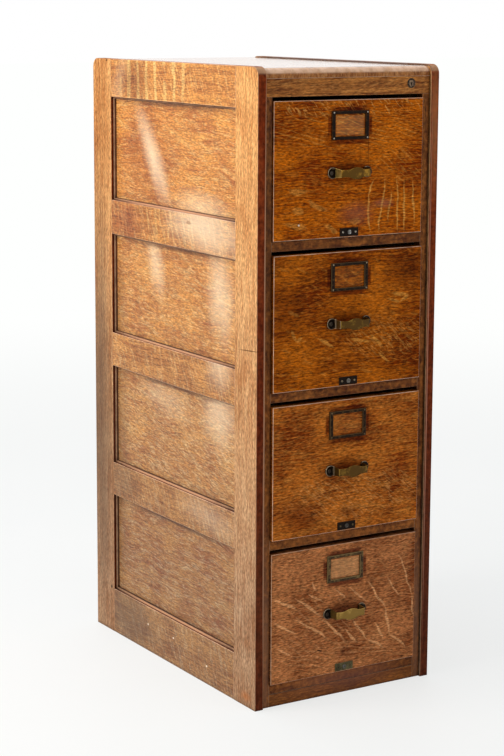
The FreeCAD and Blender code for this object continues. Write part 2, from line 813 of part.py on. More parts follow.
def drawer_bottom():
    """The thin bottom, let into rebates of the front and the sides."""
    half = BOX_INNER + size.bottom_rebate
    start = size.front_thickness - size.bottom_lap
    return block("box_bottom", (-half, start, 0), (2 * half, BOX_LONG - start, size.bottom_thickness))


def bent_strap():
    """The strap of a pull about its own middle: a bent band, trimmed to a waisted outline."""
    half, reach = size.pull_length.value / 2, size.pull_reach.value
    thick, bend = size.pull_thickness.value, size.pull_bend.value
    corner = reach - size.pull_bow.value
    widest = size.pull_middle_width.value + size.pull_leg_width.value
    inside = half - thick
    outer = [Vector(-half, 0), Vector(-half, -corner), Vector(0, -reach), Vector(half, -corner), Vector(half, 0)]
    inner = [Vector(inside, 0), Vector(inside, thick - corner), Vector(0, thick - reach),
             Vector(-inside, thick - corner), Vector(-inside, 0)]
    edges = [Part.makeLine(outer[4], inner[0]), Part.makeLine(inner[4], outer[0])]
    for path in (outer, inner):
        edges.append(Part.makeLine(path[0], path[1]))
        edges.append(Part.Arc(path[1], path[2], path[3]).toShape())
        edges.append(Part.makeLine(path[3], path[4]))
    band = Part.Face(Part.Wire(Part.__sortEdges__(edges))).extrude(Z_AXIS * widest)
    band.translate(Z_AXIS * (-widest / 2))
    for path, radius in ((outer, bend + thick), (inner, bend)):
        folds = [edge for edge in band.Edges if is_fold(edge, path[1]) or is_fold(edge, path[3])]
        band = band.makeFillet(radius, folds)
    return band.common(strap_outline(inside - bend, half, reach, corner))


def is_fold(edge, place):
    """True for the upright edge through a place."""
    return all(abs(vertex.X - place.x) + abs(vertex.Y - place.y) < 1e-4 for vertex in edge.Vertexes)


def strap_outline(split, half, reach, corner):
    """What the band is trimmed to: waisted in front up to the split, flared along the legs."""
    end, leg = size.pull_end_width.value / 2, size.pull_leg_width.value / 2
    waist, waist_x = size.pull_waist_width.value / 2, size.pull_waist_place.value
    shoulder, shoulder_x = size.pull_shoulder_width.value / 2, size.pull_shoulder_place.value
    middle = size.pull_middle_width.value / 2
    right = [(0, middle), (shoulder_x, shoulder), (waist_x, waist), (split, end)]
    points = [(-across, up) for across, up in reversed(right[1:])] + right
    edges = []
    for sign in (1, -1):
        curve = Part.BSplineCurve()
        curve.interpolate([Vector(across, 0, sign * up) for across, up in points])
        edges.append(curve.toShape())
    for side in (-split, split):
        edges.append(Part.makeLine(Vector(side, 0, -end), Vector(side, 0, end)))
    front = Part.Face(Part.Wire(Part.__sortEdges__(edges))).extrude(-Y_AXIS * (2 * reach))
    front.translate(Y_AXIS * corner / 2)
    profile = Part.makePolygon([Vector(0, -2 * reach, -end), Vector(0, -corner, -end), Vector(0, 0, -leg),
                                Vector(0, 0, leg), Vector(0, -corner, end), Vector(0, -2 * reach, end),
                                Vector(0, -2 * reach, -end)])
    flare = Part.Face(profile).extrude(X_AXIS * (half - split))
    right_flare, left_flare = flare.copy(), flare.copy()
    right_flare.translate(X_AXIS * split)
    left_flare.translate(X_AXIS * -half)
    return front.multiFuse([right_flare, left_flare])


def drawer_pull(holes):
    """A strap pull with a rounded foot on each end, bored for its screws."""
    strap = doc.addObject("Part::Feature", "pull_strap")
    strap.Shape = bent_strap()
    radius, thick = size.pull_foot_radius, size.pull_foot_thickness
    feet = [tapered_disc("pull_foot_" + word, (size.pull_foot_centre * sign, -thick, 0),
                         (radius - thick / 2, radius), thick) for word, sign in (("left", -1), ("right", 1))]
    inside = size.pull_length / 2 - size.pull_thickness
    gap = block("pull_gap", (-inside, -thick, -radius), (2 * inside, thick, 2 * radius))
    raised = group("pull_raised", fuse("pull_joined", strap, cut("pull_feet", group("pull_discs", *feet), gap)))
    return cut("pull_bored", bind(raised, z=PULL_Z), *holes["pull"])


def drawer_card_frame(holes):
    """A bevelled frame round a window, with a shallow recess behind it for the card."""
    body = doc.addObject("PartDesign::Body", "card_plate")
    wide, tall, thick = size.card_width, size.card_height, size.card_thickness
    side_bar, end_bar, lip = size.card_side_bar, size.card_end_bar, size.card_slot_lip
    window = rectangle((side_bar, end_bar), (wide - 2 * side_bar, tall - 2 * end_bar))
    face = outline(body, "card_face", "XZ_Plane", rectangle((0, 0), (wide, tall)), window)
    plate = pad(body, "card_pad", face, thick, True)
    soften(body, "card_bevelled", "Chamfer", plate, edges_on(plate.Shape, "YMin"), size.card_bevel)
    bind(body, x=-wide / 2, y=-thick, z=CARD_Z)
    slot = block("card_slot", (lip - wide / 2, -size.card_slot_depth, CARD_Z + lip),
                 (wide - 2 * lip, size.card_slot_depth, tall - 2 * lip))
    return cut("card_worked", body, slot, *holes["card"])


def drawer_rod_plate(holes):
    """The small plate at the foot of the front, where the guide rod starts."""
    body = doc.addObject("PartDesign::Body", "plate_slab")
    thick = size.plate_thickness
    face = outline(body, "plate_face", "XZ_Plane", rectangle((0, 0), (size.plate_width, size.plate_height)))
    slab = pad(body, "plate_pad", face, thick, True)
    soften(body, "plate_bevelled", "Chamfer", slab, edges_on(slab.Shape, "YMin"), size.plate_bevel)
    bind(body, x=-size.plate_width / 2, y=-thick, z=size.plate_rise)
    hole = rod("plate_rod_hole", (0, -thick, size.rod_height), size.rod_radius + size.rod_play, thick)
    return cut("plate_bored", body, hole, *holes["plate"])


def drawer_guide_rod():
    """The rod that the follower slides on, with a dimpled head in front."""
    start = -size.plate_thickness
    head_y = start - size.rod_head_height
    stem = rod("rod_stem", (0, start, size.rod_height), size.rod_radius,
               BACK_BOARD_Y + size.box_back_thickness + size.plate_thickness)
    head = rod("rod_head", (0, head_y, size.rod_height), size.rod_head_radius, size.rod_head_height)
    dimple = rod("rod_dimple", (0, head_y, size.rod_height), size.rod_dimple_radius, size.rod_dimple_depth)
    return cut("rod_dimpled", fuse("rod_headed", stem, head), dimple)


def drawer_follower():
    """The block that holds the papers up: a board on a foot bored for the rod."""
    start = BACK_BOARD_Y - size.follower_rest - size.follower_foot_length
    low = size.follower_lift
    half = BOX_INNER - size.follower_side_play
    board = block("follower_board", (-half, start, low),
                  (2 * half, size.follower_thickness, size.follower_height))
    foot = block("follower_foot", (-size.follower_foot_width / 2, start, low),
                 (size.follower_foot_width, size.follower_foot_length, size.follower_foot_height))
    bore = rod("follower_bore", (0, start, size.rod_height), size.rod_radius + size.rod_play,
               size.follower_foot_length)
    return cut("follower_bored", fuse("follower_solid", board, foot), bore)


def drawer_strike(holes):
    """A bent plate on the back of the front, with a hole that the bar's finger enters."""
    start, thick = size.front_thickness, size.strike_thickness
    flange = block("strike_flange", (STRIKE_X, start, size.strike_rise),
                   (size.strike_width, thick, size.strike_flange_height))
    tongue = block("strike_tongue", (STRIKE_X, start, size.strike_rise),
                   (size.strike_width, size.strike_reach, thick))
    hole = block("strike_hole", (FINGER_X - size.finger_play, start + size.strike_hole_start, size.strike_rise),
                 (size.finger_width + 2 * size.finger_play, size.strike_hole_length, thick))
    return cut("strike_pierced", fuse("strike_bent", flange, tongue), hole, *holes["strike"])


def make_drawers():
    """Builds the pieces of one drawer and places them four times."""
    screws, holes = make_screws()
    masters = {
        "front": drawer_front(holes),
        "box": drawer_box(),
        "bottom": drawer_bottom(),
        "pull": drawer_pull(holes),
        "card_frame": drawer_card_frame(holes),
        "rod_plate": drawer_rod_plate(holes),
        "guide_rod": drawer_guide_rod(),
        "follower": drawer_follower(),
        "strike": drawer_strike(holes),
        "screws": group("screw_set", *screws),
    }
    for drawer, ajar in zip(DRAWERS, AJAR):
        place_y = FRONT_Y + size.front_setback - ajar
        place_z = level(4 - drawer) + size.divider_height + size.front_bottom_gap
        for word, master in masters.items():
            placed = group("placed_%s_%d" % (word, drawer), master)
            keep("drawer_%d_%s" % (drawer, word), bind(placed, y=place_y, z=place_z))


def check_document():
    """Stops if any object failed or any sub-part has no sound shape."""
    for item in doc.Objects:
        if "Invalid" in item.State or "Error" in item.State:
            raise RuntimeError("%s failed: %s" % (item.Name, item.State))
    for node, piece in nodes.items():
        if piece.Shape.isNull() or not piece.Shape.isValid() or not piece.Shape.Solids:
            raise RuntimeError("%s has no sound shape" % node)


def main():
    """Builds the cabinet and writes one file for each sub-part."""
    make_sides()
    make_back()
    make_top()
    make_face()
    make_runners()
    make_lock()
    make_drawers()
    doc.recompute()
    check_document()
    os.makedirs("parts", exist_ok=True)
    for node, piece in nodes.items():
        piece.Shape.exportStep(os.path.join("parts", node + ".step"))
        print("%-24s %2d solid(s) %12.0f mm3" % (node, len(piece.Shape.Solids), piece.Shape.Volume))
    print("%d sub-parts" % len(nodes))


main()
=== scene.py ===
"""Look of a four-drawer oak filing cabinet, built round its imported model.

Lengths are in metres in the model's frame: +Z up, the drawers open towards -Y,
and the origin is on the floor in the middle of the outline.
"""
import logging
import math
import random
from dataclasses import dataclass, field, replace
from enum import Enum
from typing import Any

import bmesh
import bpy
from bmesh.types import BMEdge, BMesh, BMVert
from bpy.types import Material, Mesh, NodeSocket, NodeTree, Object
from mathutils import Matrix, Vector


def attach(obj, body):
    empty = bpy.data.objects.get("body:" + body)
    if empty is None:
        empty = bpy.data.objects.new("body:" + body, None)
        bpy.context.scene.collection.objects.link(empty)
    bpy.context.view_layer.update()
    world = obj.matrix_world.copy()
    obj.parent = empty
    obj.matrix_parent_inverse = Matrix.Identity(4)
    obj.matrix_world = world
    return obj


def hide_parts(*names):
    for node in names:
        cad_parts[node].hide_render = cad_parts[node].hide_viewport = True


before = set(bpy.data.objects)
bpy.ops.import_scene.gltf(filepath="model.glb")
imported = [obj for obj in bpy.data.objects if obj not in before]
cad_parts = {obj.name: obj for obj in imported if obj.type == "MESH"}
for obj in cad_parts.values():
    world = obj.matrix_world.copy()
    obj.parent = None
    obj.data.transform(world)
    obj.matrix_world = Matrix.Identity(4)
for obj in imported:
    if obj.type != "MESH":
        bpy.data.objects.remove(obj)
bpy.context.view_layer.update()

log = logging.getLogger("cabinet")
MM = 0.001
Place = tuple[float, float, float]
SMOOTH = {"interpolation_type": "SMOOTHSTEP"}
COLOURS = {"data_type": "RGBA"}
PORES = "#2a1206"
# Colour of the dirt and painted shade in corners
DIRT_AND_SHADE = "#190a04"
ARC = tuple(math.radians(15 * step) for step in range(7))
# Degrees between two faces: up to which they are one, and from which their edge is rounded or lit as a crease
ONE_FACE = 0.6
ARRIS_ANGLE = 35
CREASE = 38
# How far apart in the wood two boards may be sawn, in metres
APART = 9


class Axis(Enum):
    """The way that something runs in the model's frame."""

    X = 0
    Y = 1
    Z = 2


class Figure(Enum):
    """How the rays of quarter-sawn oak show."""

    DASHES = "short pale dashes"
    WAVES = "pale wavy lines side by side"


class Lay(Enum):
    """How a mark lies on the wood: over it, or as a darker or lighter glaze that the grain shows through."""

    OVER = "MIX"
    DARKEN = "MULTIPLY"
    LIGHTEN = "SCREEN"


def linear(colour: str) -> tuple[float, float, float, float]:
    """Turns an sRGB hex colour into a linear one.

    Args:
        colour: Six hex digits after a hash.

    Returns:
        Linear red, green, blue and an alpha of 1.
    """
    parts = [int(colour[start:start + 2], 16) / 255 for start in (1, 3, 5)]
    light = [part / 12.92 if part <= 0.04045 else ((part + 0.055) / 1.055) ** 2.4 for part in parts]
    return (light[0], light[1], light[2], 1.0)


def add(tree: NodeTree, kind: str, inputs: dict[Any, Any] | None = None, out: Any = 0,
        **settings: Any) -> NodeSocket | None:
    """Adds one shader node with its settings and links.

    Args:
        tree: The node tree that gets it.
        kind: The node's type without its ShaderNode prefix.
        inputs: For a socket's name or number, the value or the socket that feeds it.
        out: Name or number of the output that is wanted.
        **settings: Properties of the node.

    Returns:
        The wanted output socket, or None for a node that ends the tree.
    """
    node = tree.nodes.new("ShaderNode" + kind)
    for key, value in settings.items():
        setattr(node, key, value)
    for key, value in (inputs or {}).items():
        if isinstance(value, NodeSocket):
            tree.links.new(value, node.inputs[key])
        else:
            node.inputs[key].default_value = value
    return node.outputs[out] if node.outputs else None


def new_tree(name: str) -> tuple[Material, NodeTree]:
    """Makes an empty material.

    Args:
        name: The material's name.

    Returns:
        The material and its node tree.
    """
    material = bpy.data.materials.new(name)
    material.use_nodes = True
    material.node_tree.nodes.clear()
    return material, material.node_tree


def largest_part(tree: NodeTree, vector: NodeSocket) -> NodeSocket:
    """Finds how far a vector reaches along the axis that it is nearest to.

    Args:
        tree: The node tree.
        vector: The vector.

    Returns:
        Its largest part, without its sign.
    """
    parts = add(tree, "SeparateXYZ", {0: add(tree, "VectorMath", {0: vector}, operation="ABSOLUTE")}).node
    larger = add(tree, "Math", {0: parts.outputs[0], 1: parts.outputs[1]}, operation="MAXIMUM")
    return add(tree, "Math", {0: larger, 1: parts.outputs[2]}, operation="MAXIMUM")


def arris_mask(tree: NodeTree, start: float = 0.995, end: float = 0.9) -> NodeSocket:
    """Finds rounded edges: there the surface looks along no axis of the frame.

    Args:
        tree: The node tree.
        start: The largest part of the normal where the edge begins.
        end: The largest part of the normal where it is full.

    Returns:
        A mask, 1 on the rounded edges.
    """
    largest = largest_part(tree, add(tree, "TexCoord", out="Normal"))
    return add(tree, "MapRange", {0: largest, 1: start, 2: end, 3: 0.0, 4: 1.0}, **SMOOTH)


def within(tree: NodeTree, where: NodeSocket, middle: Place, half: Place,
           turn: Place = (0.0, 0.0, 0.0)) -> tuple[NodeSocket, NodeSocket]:
    """Measures a place from the middle of an ellipsoid, in its half-lengths.

    Args:
        tree: The node tree.
        where: The place.
        middle: The ellipsoid's middle, in millimetres.
        half: Its half-lengths, in millimetres.
        turn: Its turn about each axis, in degrees.

    Returns:
        The place in half-lengths, and its distance, which is 1 on the ellipsoid.
    """
    near = add(tree, "Mapping", {
        "Vector": where,
        "Location": [part * MM for part in middle],
        "Rotation": [math.radians(part) for part in turn],
        "Scale": [part * MM for part in half],
    }, vector_type="TEXTURE")
    return near, add(tree, "VectorMath", {0: near}, "Value", operation="LENGTH")


def stretched(tree: NodeTree, where: NodeSocket, long: float, wide: float, turn: float, detail: float,
              swirl: float = 0.0) -> NodeSocket:
    """A noise drawn out along the fibres.

    Args:
        tree: The node tree.
        where: Place in the wood.
        long: Length of a feature, in millimetres.
        wide: Its width, in millimetres.
        turn: Its turn from the fibres, in degrees.
        detail: Octaves of the noise.
        swirl: How far the noise is bent by itself.

    Returns:
        The noise, around 0.5.
    """
    near = add(tree, "Mapping", {
        "Vector": where,
        "Rotation": (0.0, 0.0, math.radians(turn)),
        "Scale": (long * MM, wide * MM, wide * 3 * MM),
    }, vector_type="TEXTURE")
    return add(tree, "TexNoise", {"Vector": near, "Scale": 1.0, "Detail": detail, "Roughness": 0.55,
                                  "Distortion": swirl})


def unsettled(tree: NodeTree, where: NodeSocket, scale: float) -> NodeSocket:
    """A slow noise that carries places away from where they would be.

    Args:
        tree: The node tree.
        where: The place.
        scale: How many turns the noise takes in a metre.

    Returns:
        A vector around 0.
    """
    noise = add(tree, "TexNoise", {"Vector": where, "Scale": scale, "Detail": 2.0}, "Color")
    return add(tree, "VectorMath", {0: noise, 1: (0.5, 0.5, 0.5)}, operation="SUBTRACT")


@dataclass(frozen=True)
class Mark:
    """A soft-edged mark on a surface, such as a stain, a hole, a painted shadow or a pale patch of painted
    reflection.

    place is its middle and half its half-lengths along its own axes, both in millimetres. edge is the
    share that fades, ragged how far its outline strays, and turn its turn in degrees about each axis. A
    square one has corners.
    """

    place: Place
    half: Place
    colour: str
    amount: float
    edge: float = 0.5
    ragged: float = 0.25
    square: bool = False
    lay: Lay = Lay.OVER
    turn: Place = (0.0, 0.0, 0.0)

    def mask(self, tree: NodeTree) -> NodeSocket:
        """Draws where the mark is.

        Args:
            tree: The node tree.

        Returns:
            A mask, up to the mark's amount.
        """
        near, reach = within(tree, add(tree, "TexCoord", out="Object"), self.place, self.half, self.turn)
        if self.square:
            reach = largest_part(tree, near)
        rough = add(tree, "TexNoise", {"Vector": near, "Scale": 2.2, "Detail": 4.0})
        bent = add(tree, "Math", {0: rough, 1: self.ragged * 2, 2: reach}, operation="MULTIPLY_ADD")
        outer = 1 + self.ragged
        inner = outer - self.edge
        return add(tree, "MapRange", {0: bent, 1: outer, 2: inner, 3: 0.0, 4: self.amount}, **SMOOTH)

    def over(self, tree: NodeTree, colour: NodeSocket) -> NodeSocket:
        """Lays the mark over a colour.

        Args:
            tree: The node tree.
            colour: What lies under it.

        Returns:
            The colour with the mark on it.
        """
        return add(tree, "Mix", {0: self.mask(tree), 6: colour, 7: linear(self.colour)}, 2,
                   blend_type=self.lay.value, **COLOURS)


@dataclass(frozen=True)
class Strokes:
    """Flecks long enough to be told apart, each between two places on a drawer's front.

    lines holds the ends of each, as x and z of the model's frame, wide is their width and sway how far
    they wander, all in millimetres. share is how much they cover. tip is half their length and their
    point as a share of the way between the ends, and front_y and deep the fronts' place.
    """

    lines: tuple[tuple[float, float, float, float], ...]
    wide: float
    share: float
    colour: str
    sway: float = 16.0
    tip: float = 0.56
    front_y: float = -337.0
    deep: float = 60.0

    def mask(self, tree: NodeTree, bent: NodeSocket) -> NodeSocket:
        """Draws the flecks.

        Args:
            tree: The node tree.
            bent: Place in the wood, which these don't follow.

        Returns:
            A mask, up to the flecks' share.
        """
        where = add(tree, "TexCoord", out="Object")
        swayed = add(tree, "VectorMath", {0: unsettled(tree, where, 30.0), 1: [self.sway * MM] * 3, 2: where},
                     operation="MULTIPLY_ADD")
        reaches = []
        for start_x, start_z, end_x, end_z in self.lines:
            middle = ((start_x + end_x) / 2, self.front_y, (start_z + end_z) / 2)
            half = (math.hypot(end_x - start_x, end_z - start_z) * self.tip, self.deep, self.wide)
            rise = math.degrees(math.atan2(end_z - start_z, end_x - start_x))
            reaches.append(within(tree, swayed, middle, half, (0.0, -rise, 0.0))[1])
        nearest = reaches[0]
        for reach in reaches[1:]:
            nearest = add(tree, "Math", {0: nearest, 1: reach}, operation="MINIMUM")
        return add(tree, "MapRange", {0: nearest, 1: 1.1, 2: 0.6, 3: 0.0, 4: self.share}, **SMOOTH)


@dataclass(frozen=True)
class Rays:
    """One set of ray flecks, the pale cells that quarter sawing lays open. Sizes are in millimetres.

    turn is their turn from the fibres in degrees. They show where a noise passes low and are full where it
    reaches high. sway is how far waves wander and thin how narrow their crests are. region, where given,
    is the middle and the half-lengths of the only place that has them.
    """

    long: float
    wide: float
    share: float
    turn: float = 0.0
    colour: str = "#d9a86a"
    low: float = 0.5
    high: float = 0.62
    sway: float = 9.0
    thin: float = 0.2
    figure: Figure = Figure.DASHES
    region: tuple[Place, Place] | None = None

    def mask(self, tree: NodeTree, bent: NodeSocket) -> NodeSocket:
        """Draws the flecks.

        Args:
            tree: The node tree.
            bent: Place in the wood, with the fibres' wander.

        Returns:
            A mask, up to the flecks' share.
        """
        noise = stretched(tree, bent, self.long, self.wide, self.turn, 2.0, 0.6)
        if self.figure is Figure.WAVES:
            shape = self.waves(tree, bent, noise)
        else:
            shape = add(tree, "MapRange", {0: noise, 1: self.low, 2: self.high, 3: 0.0, 4: self.share},
                        **SMOOTH)
        if self.region:
            reach = within(tree, add(tree, "TexCoord", out="Object"), *self.region)[1]
            inside = add(tree, "MapRange", {0: reach, 1: 1.0, 2: 0.7, 3: 0.0, 4: 1.0}, **SMOOTH)
            shape = add(tree, "Math", {0: shape, 1: inside}, operation="MULTIPLY")
        return shape

    def waves(self, tree: NodeTree, bent: NodeSocket, noise: NodeSocket) -> NodeSocket:
        """Draws pale lines side by side, broken here and there.

        Args:
            tree: The node tree.
            bent: Place in the wood, with the fibres' wander.
            noise: What carries the lines to and fro.

        Returns:
            A mask, up to the flecks' share.
        """
        turned = add(tree, "Mapping", {"Vector": bent, "Rotation": (0.0, 0.0, math.radians(self.turn))},
                     vector_type="TEXTURE")
        parts = add(tree, "SeparateXYZ", {0: turned}).node
        phase = add(tree, "Math", {0: parts.outputs[1], 1: math.tau / (self.wide * MM)}, operation="MULTIPLY")
        shifted = add(tree, "Math", {0: noise, 1: self.sway, 2: phase}, operation="MULTIPLY_ADD")
        crest = add(tree, "Math", {0: shifted}, operation="SINE")
        line = add(tree, "MapRange", {0: crest, 1: self.thin, 2: 0.95, 3: 0.0, 4: self.share}, **SMOOTH)
        broken = stretched(tree, bent, self.long * 0.5, self.wide * 1.2, self.turn, 1.0)
        shown = add(tree, "MapRange", {0: broken, 1: self.low - 0.08, 2: self.high - 0.04, 3: 0.0, 4: 1.0},
                    **SMOOTH)
        return add(tree, "Math", {0: line, 1: shown}, operation="MULTIPLY")


@dataclass(frozen=True)
class QuarterSawnOak:
    """Quarter-sawn oak, fumed brown, shellacked by hand and rubbed by a century of use.

    The eye gets straight dark streaks along the fibres, pale shiny ray flecks across them, open pores, a
    satin gloss, pale bare wood on the arrises that also paints their highlight, and dirt with painted shade
    in the corners. Sizes are in millimetres. The glazes make the wood darker and cooler towards the floor
    and paint shade on the faces that look forwards or up, where the forward faces also have a darker
    stain, and coat is how much wax those that look up have.
    """

    name: str
    dark: str
    light: str
    rays: tuple[Rays | Strokes, ...] = ()
    wander: float = 6.0
    streak_long: float = 240.0
    streak_wide: float = 9.0
    streak_mix: float = 0.5
    fibre_long: float = 70.0
    fibre_wide: float = 2.8
    flake_long: float = 9.0
    flake_wide: float = 3.0
    pore_long: float = 17.0
    pore_wide: float = 1.4
    grit: float = 0.42
    lower: str | None = None
    forward_stain_and_shade: str | None = None
    upward_shade: str | None = None
    contrast: float = 1.0
    mottle: float = 0.3
    mottle_size: float = 70.0
    worn_and_highlight: str = "#c9a07c"
    wear_and_highlight: float = 0.6
    corner_shade_and_dirt: float = 0.75
    corner_shade_reach: float = 18.0
    roughness: float = 0.46
    gloss: float = 0.3
    coat: float = 0.0
    marks: tuple[Mark, ...] = ()

    def material(self) -> Material:
        """Builds the wood.

        Returns:
            The finished material.
        """
        material, tree = new_tree(self.name)
        wood = add(tree, "Attribute", out="Vector", attribute_name="wood")
        bend = [self.wander * MM * part for part in (1.0, 3.0, 3.0)]
        wander = add(tree, "VectorMath", {0: unsettled(tree, wood, 11.0), 1: bend}, operation="MULTIPLY")
        bent = add(tree, "VectorMath", {0: wander, 1: wood}, operation="ADD")
        fibres = stretched(tree, bent, self.fibre_long, self.fibre_wide, 0.0, 3.0)
        colour = self.stained(tree, bent, fibres)
        masks = [rays.mask(tree, bent) for rays in self.rays]
        for rays, mask in zip(self.rays, masks):
            colour = add(tree, "Mix", {0: mask, 6: colour, 7: linear(rays.colour)}, 2, **COLOURS)
        colour = self.by_place(tree, colour)
        # Short broken fibres, a little longer than real ones, which the render would lose
        short = stretched(tree, wood, self.flake_long, self.flake_wide, 0.0, 2.0)
        glint = add(tree, "MapRange", {0: short, 1: 0.3, 2: 0.7, 3: 1 - self.grit, 4: 1 + self.grit})
        colour = add(tree, "VectorMath", {0: colour, "Scale": glint}, operation="SCALE")
        # Real pores are 0.3 mm wide. They are drawn coarser, or the render would lose them
        pores = stretched(tree, wood, self.pore_long, self.pore_wide, 0.0, 2.0)
        pore = add(tree, "MapRange", {0: pores, 1: 0.55, 2: 0.7, 3: 0.0, 4: 0.55})
        colour = add(tree, "Mix", {0: pore, 6: colour, 7: linear(PORES)}, 2, **COLOURS)
        colour = self.aged(tree, wood, colour)
        for mark in self.marks:
            colour = mark.over(tree, colour)
        dull, bright = self.roughness + 0.07, self.roughness - 0.04
        rough = add(tree, "MapRange", {0: fibres, 1: 0.3, 2: 0.7, 3: dull, 4: bright})
        if masks:
            rough = add(tree, "Math", {0: masks[0], 1: -0.14, 2: rough}, operation="MULTIPLY_ADD")
        relief = add(tree, "Math", {0: pore, 1: -1.2, 2: fibres}, operation="MULTIPLY_ADD")
        normal = add(tree, "Bump", {"Height": relief, "Strength": 0.4, "Distance": 0.0005})
        add(tree, "OutputMaterial", {0: add(tree, "BsdfPrincipled", {
            "Base Color": colour,
            "Roughness": rough,
            "Normal": normal,
            "Specular IOR Level": self.gloss,
            "Coat Weight": self.coated(tree),
            "Coat Roughness": 0.12,
        })})
        return material

    def coated(self, tree: NodeTree) -> NodeSocket | float:
        """Waxes the faces that look up, which have been dusted and polished for longest.

        Args:
            tree: The node tree.

        Returns:
            Where there is wax, or 0 for a finish without it.
        """
        if not self.coat:
            return 0.0
        facing = add(tree, "SeparateXYZ", {0: add(tree, "TexCoord", out="Normal")}, 2)
        return add(tree, "MapRange", {0: facing, 1: 0.5, 2: 0.9, 3: 0.0, 4: self.coat})

    def stained(self, tree: NodeTree, bent: NodeSocket, fibres: NodeSocket) -> NodeSocket:
        """Stains the wood in streaks, and board by board.

        Args:
            tree: The node tree.
            bent: Place in the wood, with the fibres' wander.
            fibres: The fine streaks.

        Returns:
            The colour.
        """
        streaks = stretched(tree, bent, self.streak_long, self.streak_wide, 0.0, 4.0)
        cloud = add(tree, "TexNoise", {"Vector": bent, "Scale": 1000.0 / self.mottle_size, "Detail": 3.0})
        fine = add(tree, "Math", {0: fibres, 1: 1 - self.streak_mix}, operation="MULTIPLY")
        both = add(tree, "Math", {0: streaks, 1: self.streak_mix, 2: fine}, operation="MULTIPLY_ADD")
        both = add(tree, "Math", {0: cloud, 1: self.mottle, 2: both}, operation="MULTIPLY_ADD")
        tone = add(tree, "Attribute", out="Fac", attribute_name="tone")
        board = add(tree, "Math", {0: tone, 1: 0.06, 2: both}, operation="MULTIPLY_ADD")
        middle = 0.53 + 0.5 * self.mottle
        half = 0.12 / self.contrast
        share = add(tree, "MapRange", {0: board, 1: middle - half, 2: middle + half, 3: 0.0, 4: 1.0})
        return add(tree, "Mix", {0: share, 6: linear(self.dark), 7: linear(self.light)}, 2, **COLOURS)

    def by_place(self, tree: NodeTree, colour: NodeSocket) -> NodeSocket:
        """Glazes the wood darker and cooler towards the floor, and paints shade on the faces that look
        forwards or up.

        Args:
            tree: The node tree.
            colour: The stained wood with its flecks.

        Returns:
            The colour.
        """
        if self.lower:
            height = add(tree, "SeparateXYZ", {0: add(tree, "TexCoord", out="Object")}, 2)
            low = add(tree, "MapRange", {0: height, 1: 1.2, 2: 0.2, 3: 0.0, 4: 1.0})
            colour = add(tree, "Mix", {0: low, 6: colour, 7: linear(self.lower)}, 2,
                         blend_type="MULTIPLY", **COLOURS)
        facing = add(tree, "SeparateXYZ", {0: add(tree, "TexCoord", out="Normal")}).node
        # Painted shade on the faces that look forwards, together with their darker stain
        if self.forward_stain_and_shade:
            front = add(tree, "MapRange", {0: facing.outputs[1], 1: -0.35, 2: -0.75, 3: 0.0, 4: 1.0})
            colour = add(tree, "Mix", {0: front, 6: colour, 7: linear(self.forward_stain_and_shade)}, 2,
                         blend_type="MULTIPLY", **COLOURS)
        # Painted shade on the faces that look up
        if self.upward_shade:
            above = add(tree, "MapRange", {0: facing.outputs[2], 1: 0.3, 2: 0.8, 3: 0.0, 4: 1.0})
            colour = add(tree, "Mix", {0: above, 6: colour, 7: linear(self.upward_shade)}, 2,
                         blend_type="MULTIPLY", **COLOURS)
        return colour

    def aged(self, tree: NodeTree, wood: NodeSocket, colour: NodeSocket) -> NodeSocket:
        """Wears the arrises to pale wood, which also paints their highlight, and darkens the corners with
        dirt and painted shade.

        Args:
            tree: The node tree.
            wood: Place in the wood.
            colour: The stained wood.

        Returns:
            The aged colour.
        """
        # Pale arrises: bare wood worn through, and also a painted highlight along the edges
        broken = add(tree, "TexNoise", {"Vector": wood, "Scale": 45.0, "Detail": 5.0, "Roughness": 0.65})
        kept = add(tree, "MapRange", {0: broken, 1: 0.34, 2: 0.6, 3: self.wear_and_highlight * 0.45, 4: self.wear_and_highlight})
        rubbed = add(tree, "Math", {0: arris_mask(tree), 1: kept}, operation="MULTIPLY")
        colour = add(tree, "Mix", {0: rubbed, 6: colour, 7: linear(self.worn_and_highlight)}, 2, **COLOURS)
        # Ambient occlusion darkens corners and recesses: dirt and painted shade
        open_sky = add(tree, "AmbientOcclusion", {"Distance": self.corner_shade_reach * MM}, "AO", samples=4)
        shade_and_dirt = add(tree, "MapRange", {0: open_sky, 1: 0.8, 2: 0.3, 3: 0.0, 4: self.corner_shade_and_dirt})
        return add(tree, "Mix", {0: shade_and_dirt, 6: colour, 7: linear(DIRT_AND_SHADE)}, 2, **COLOURS)


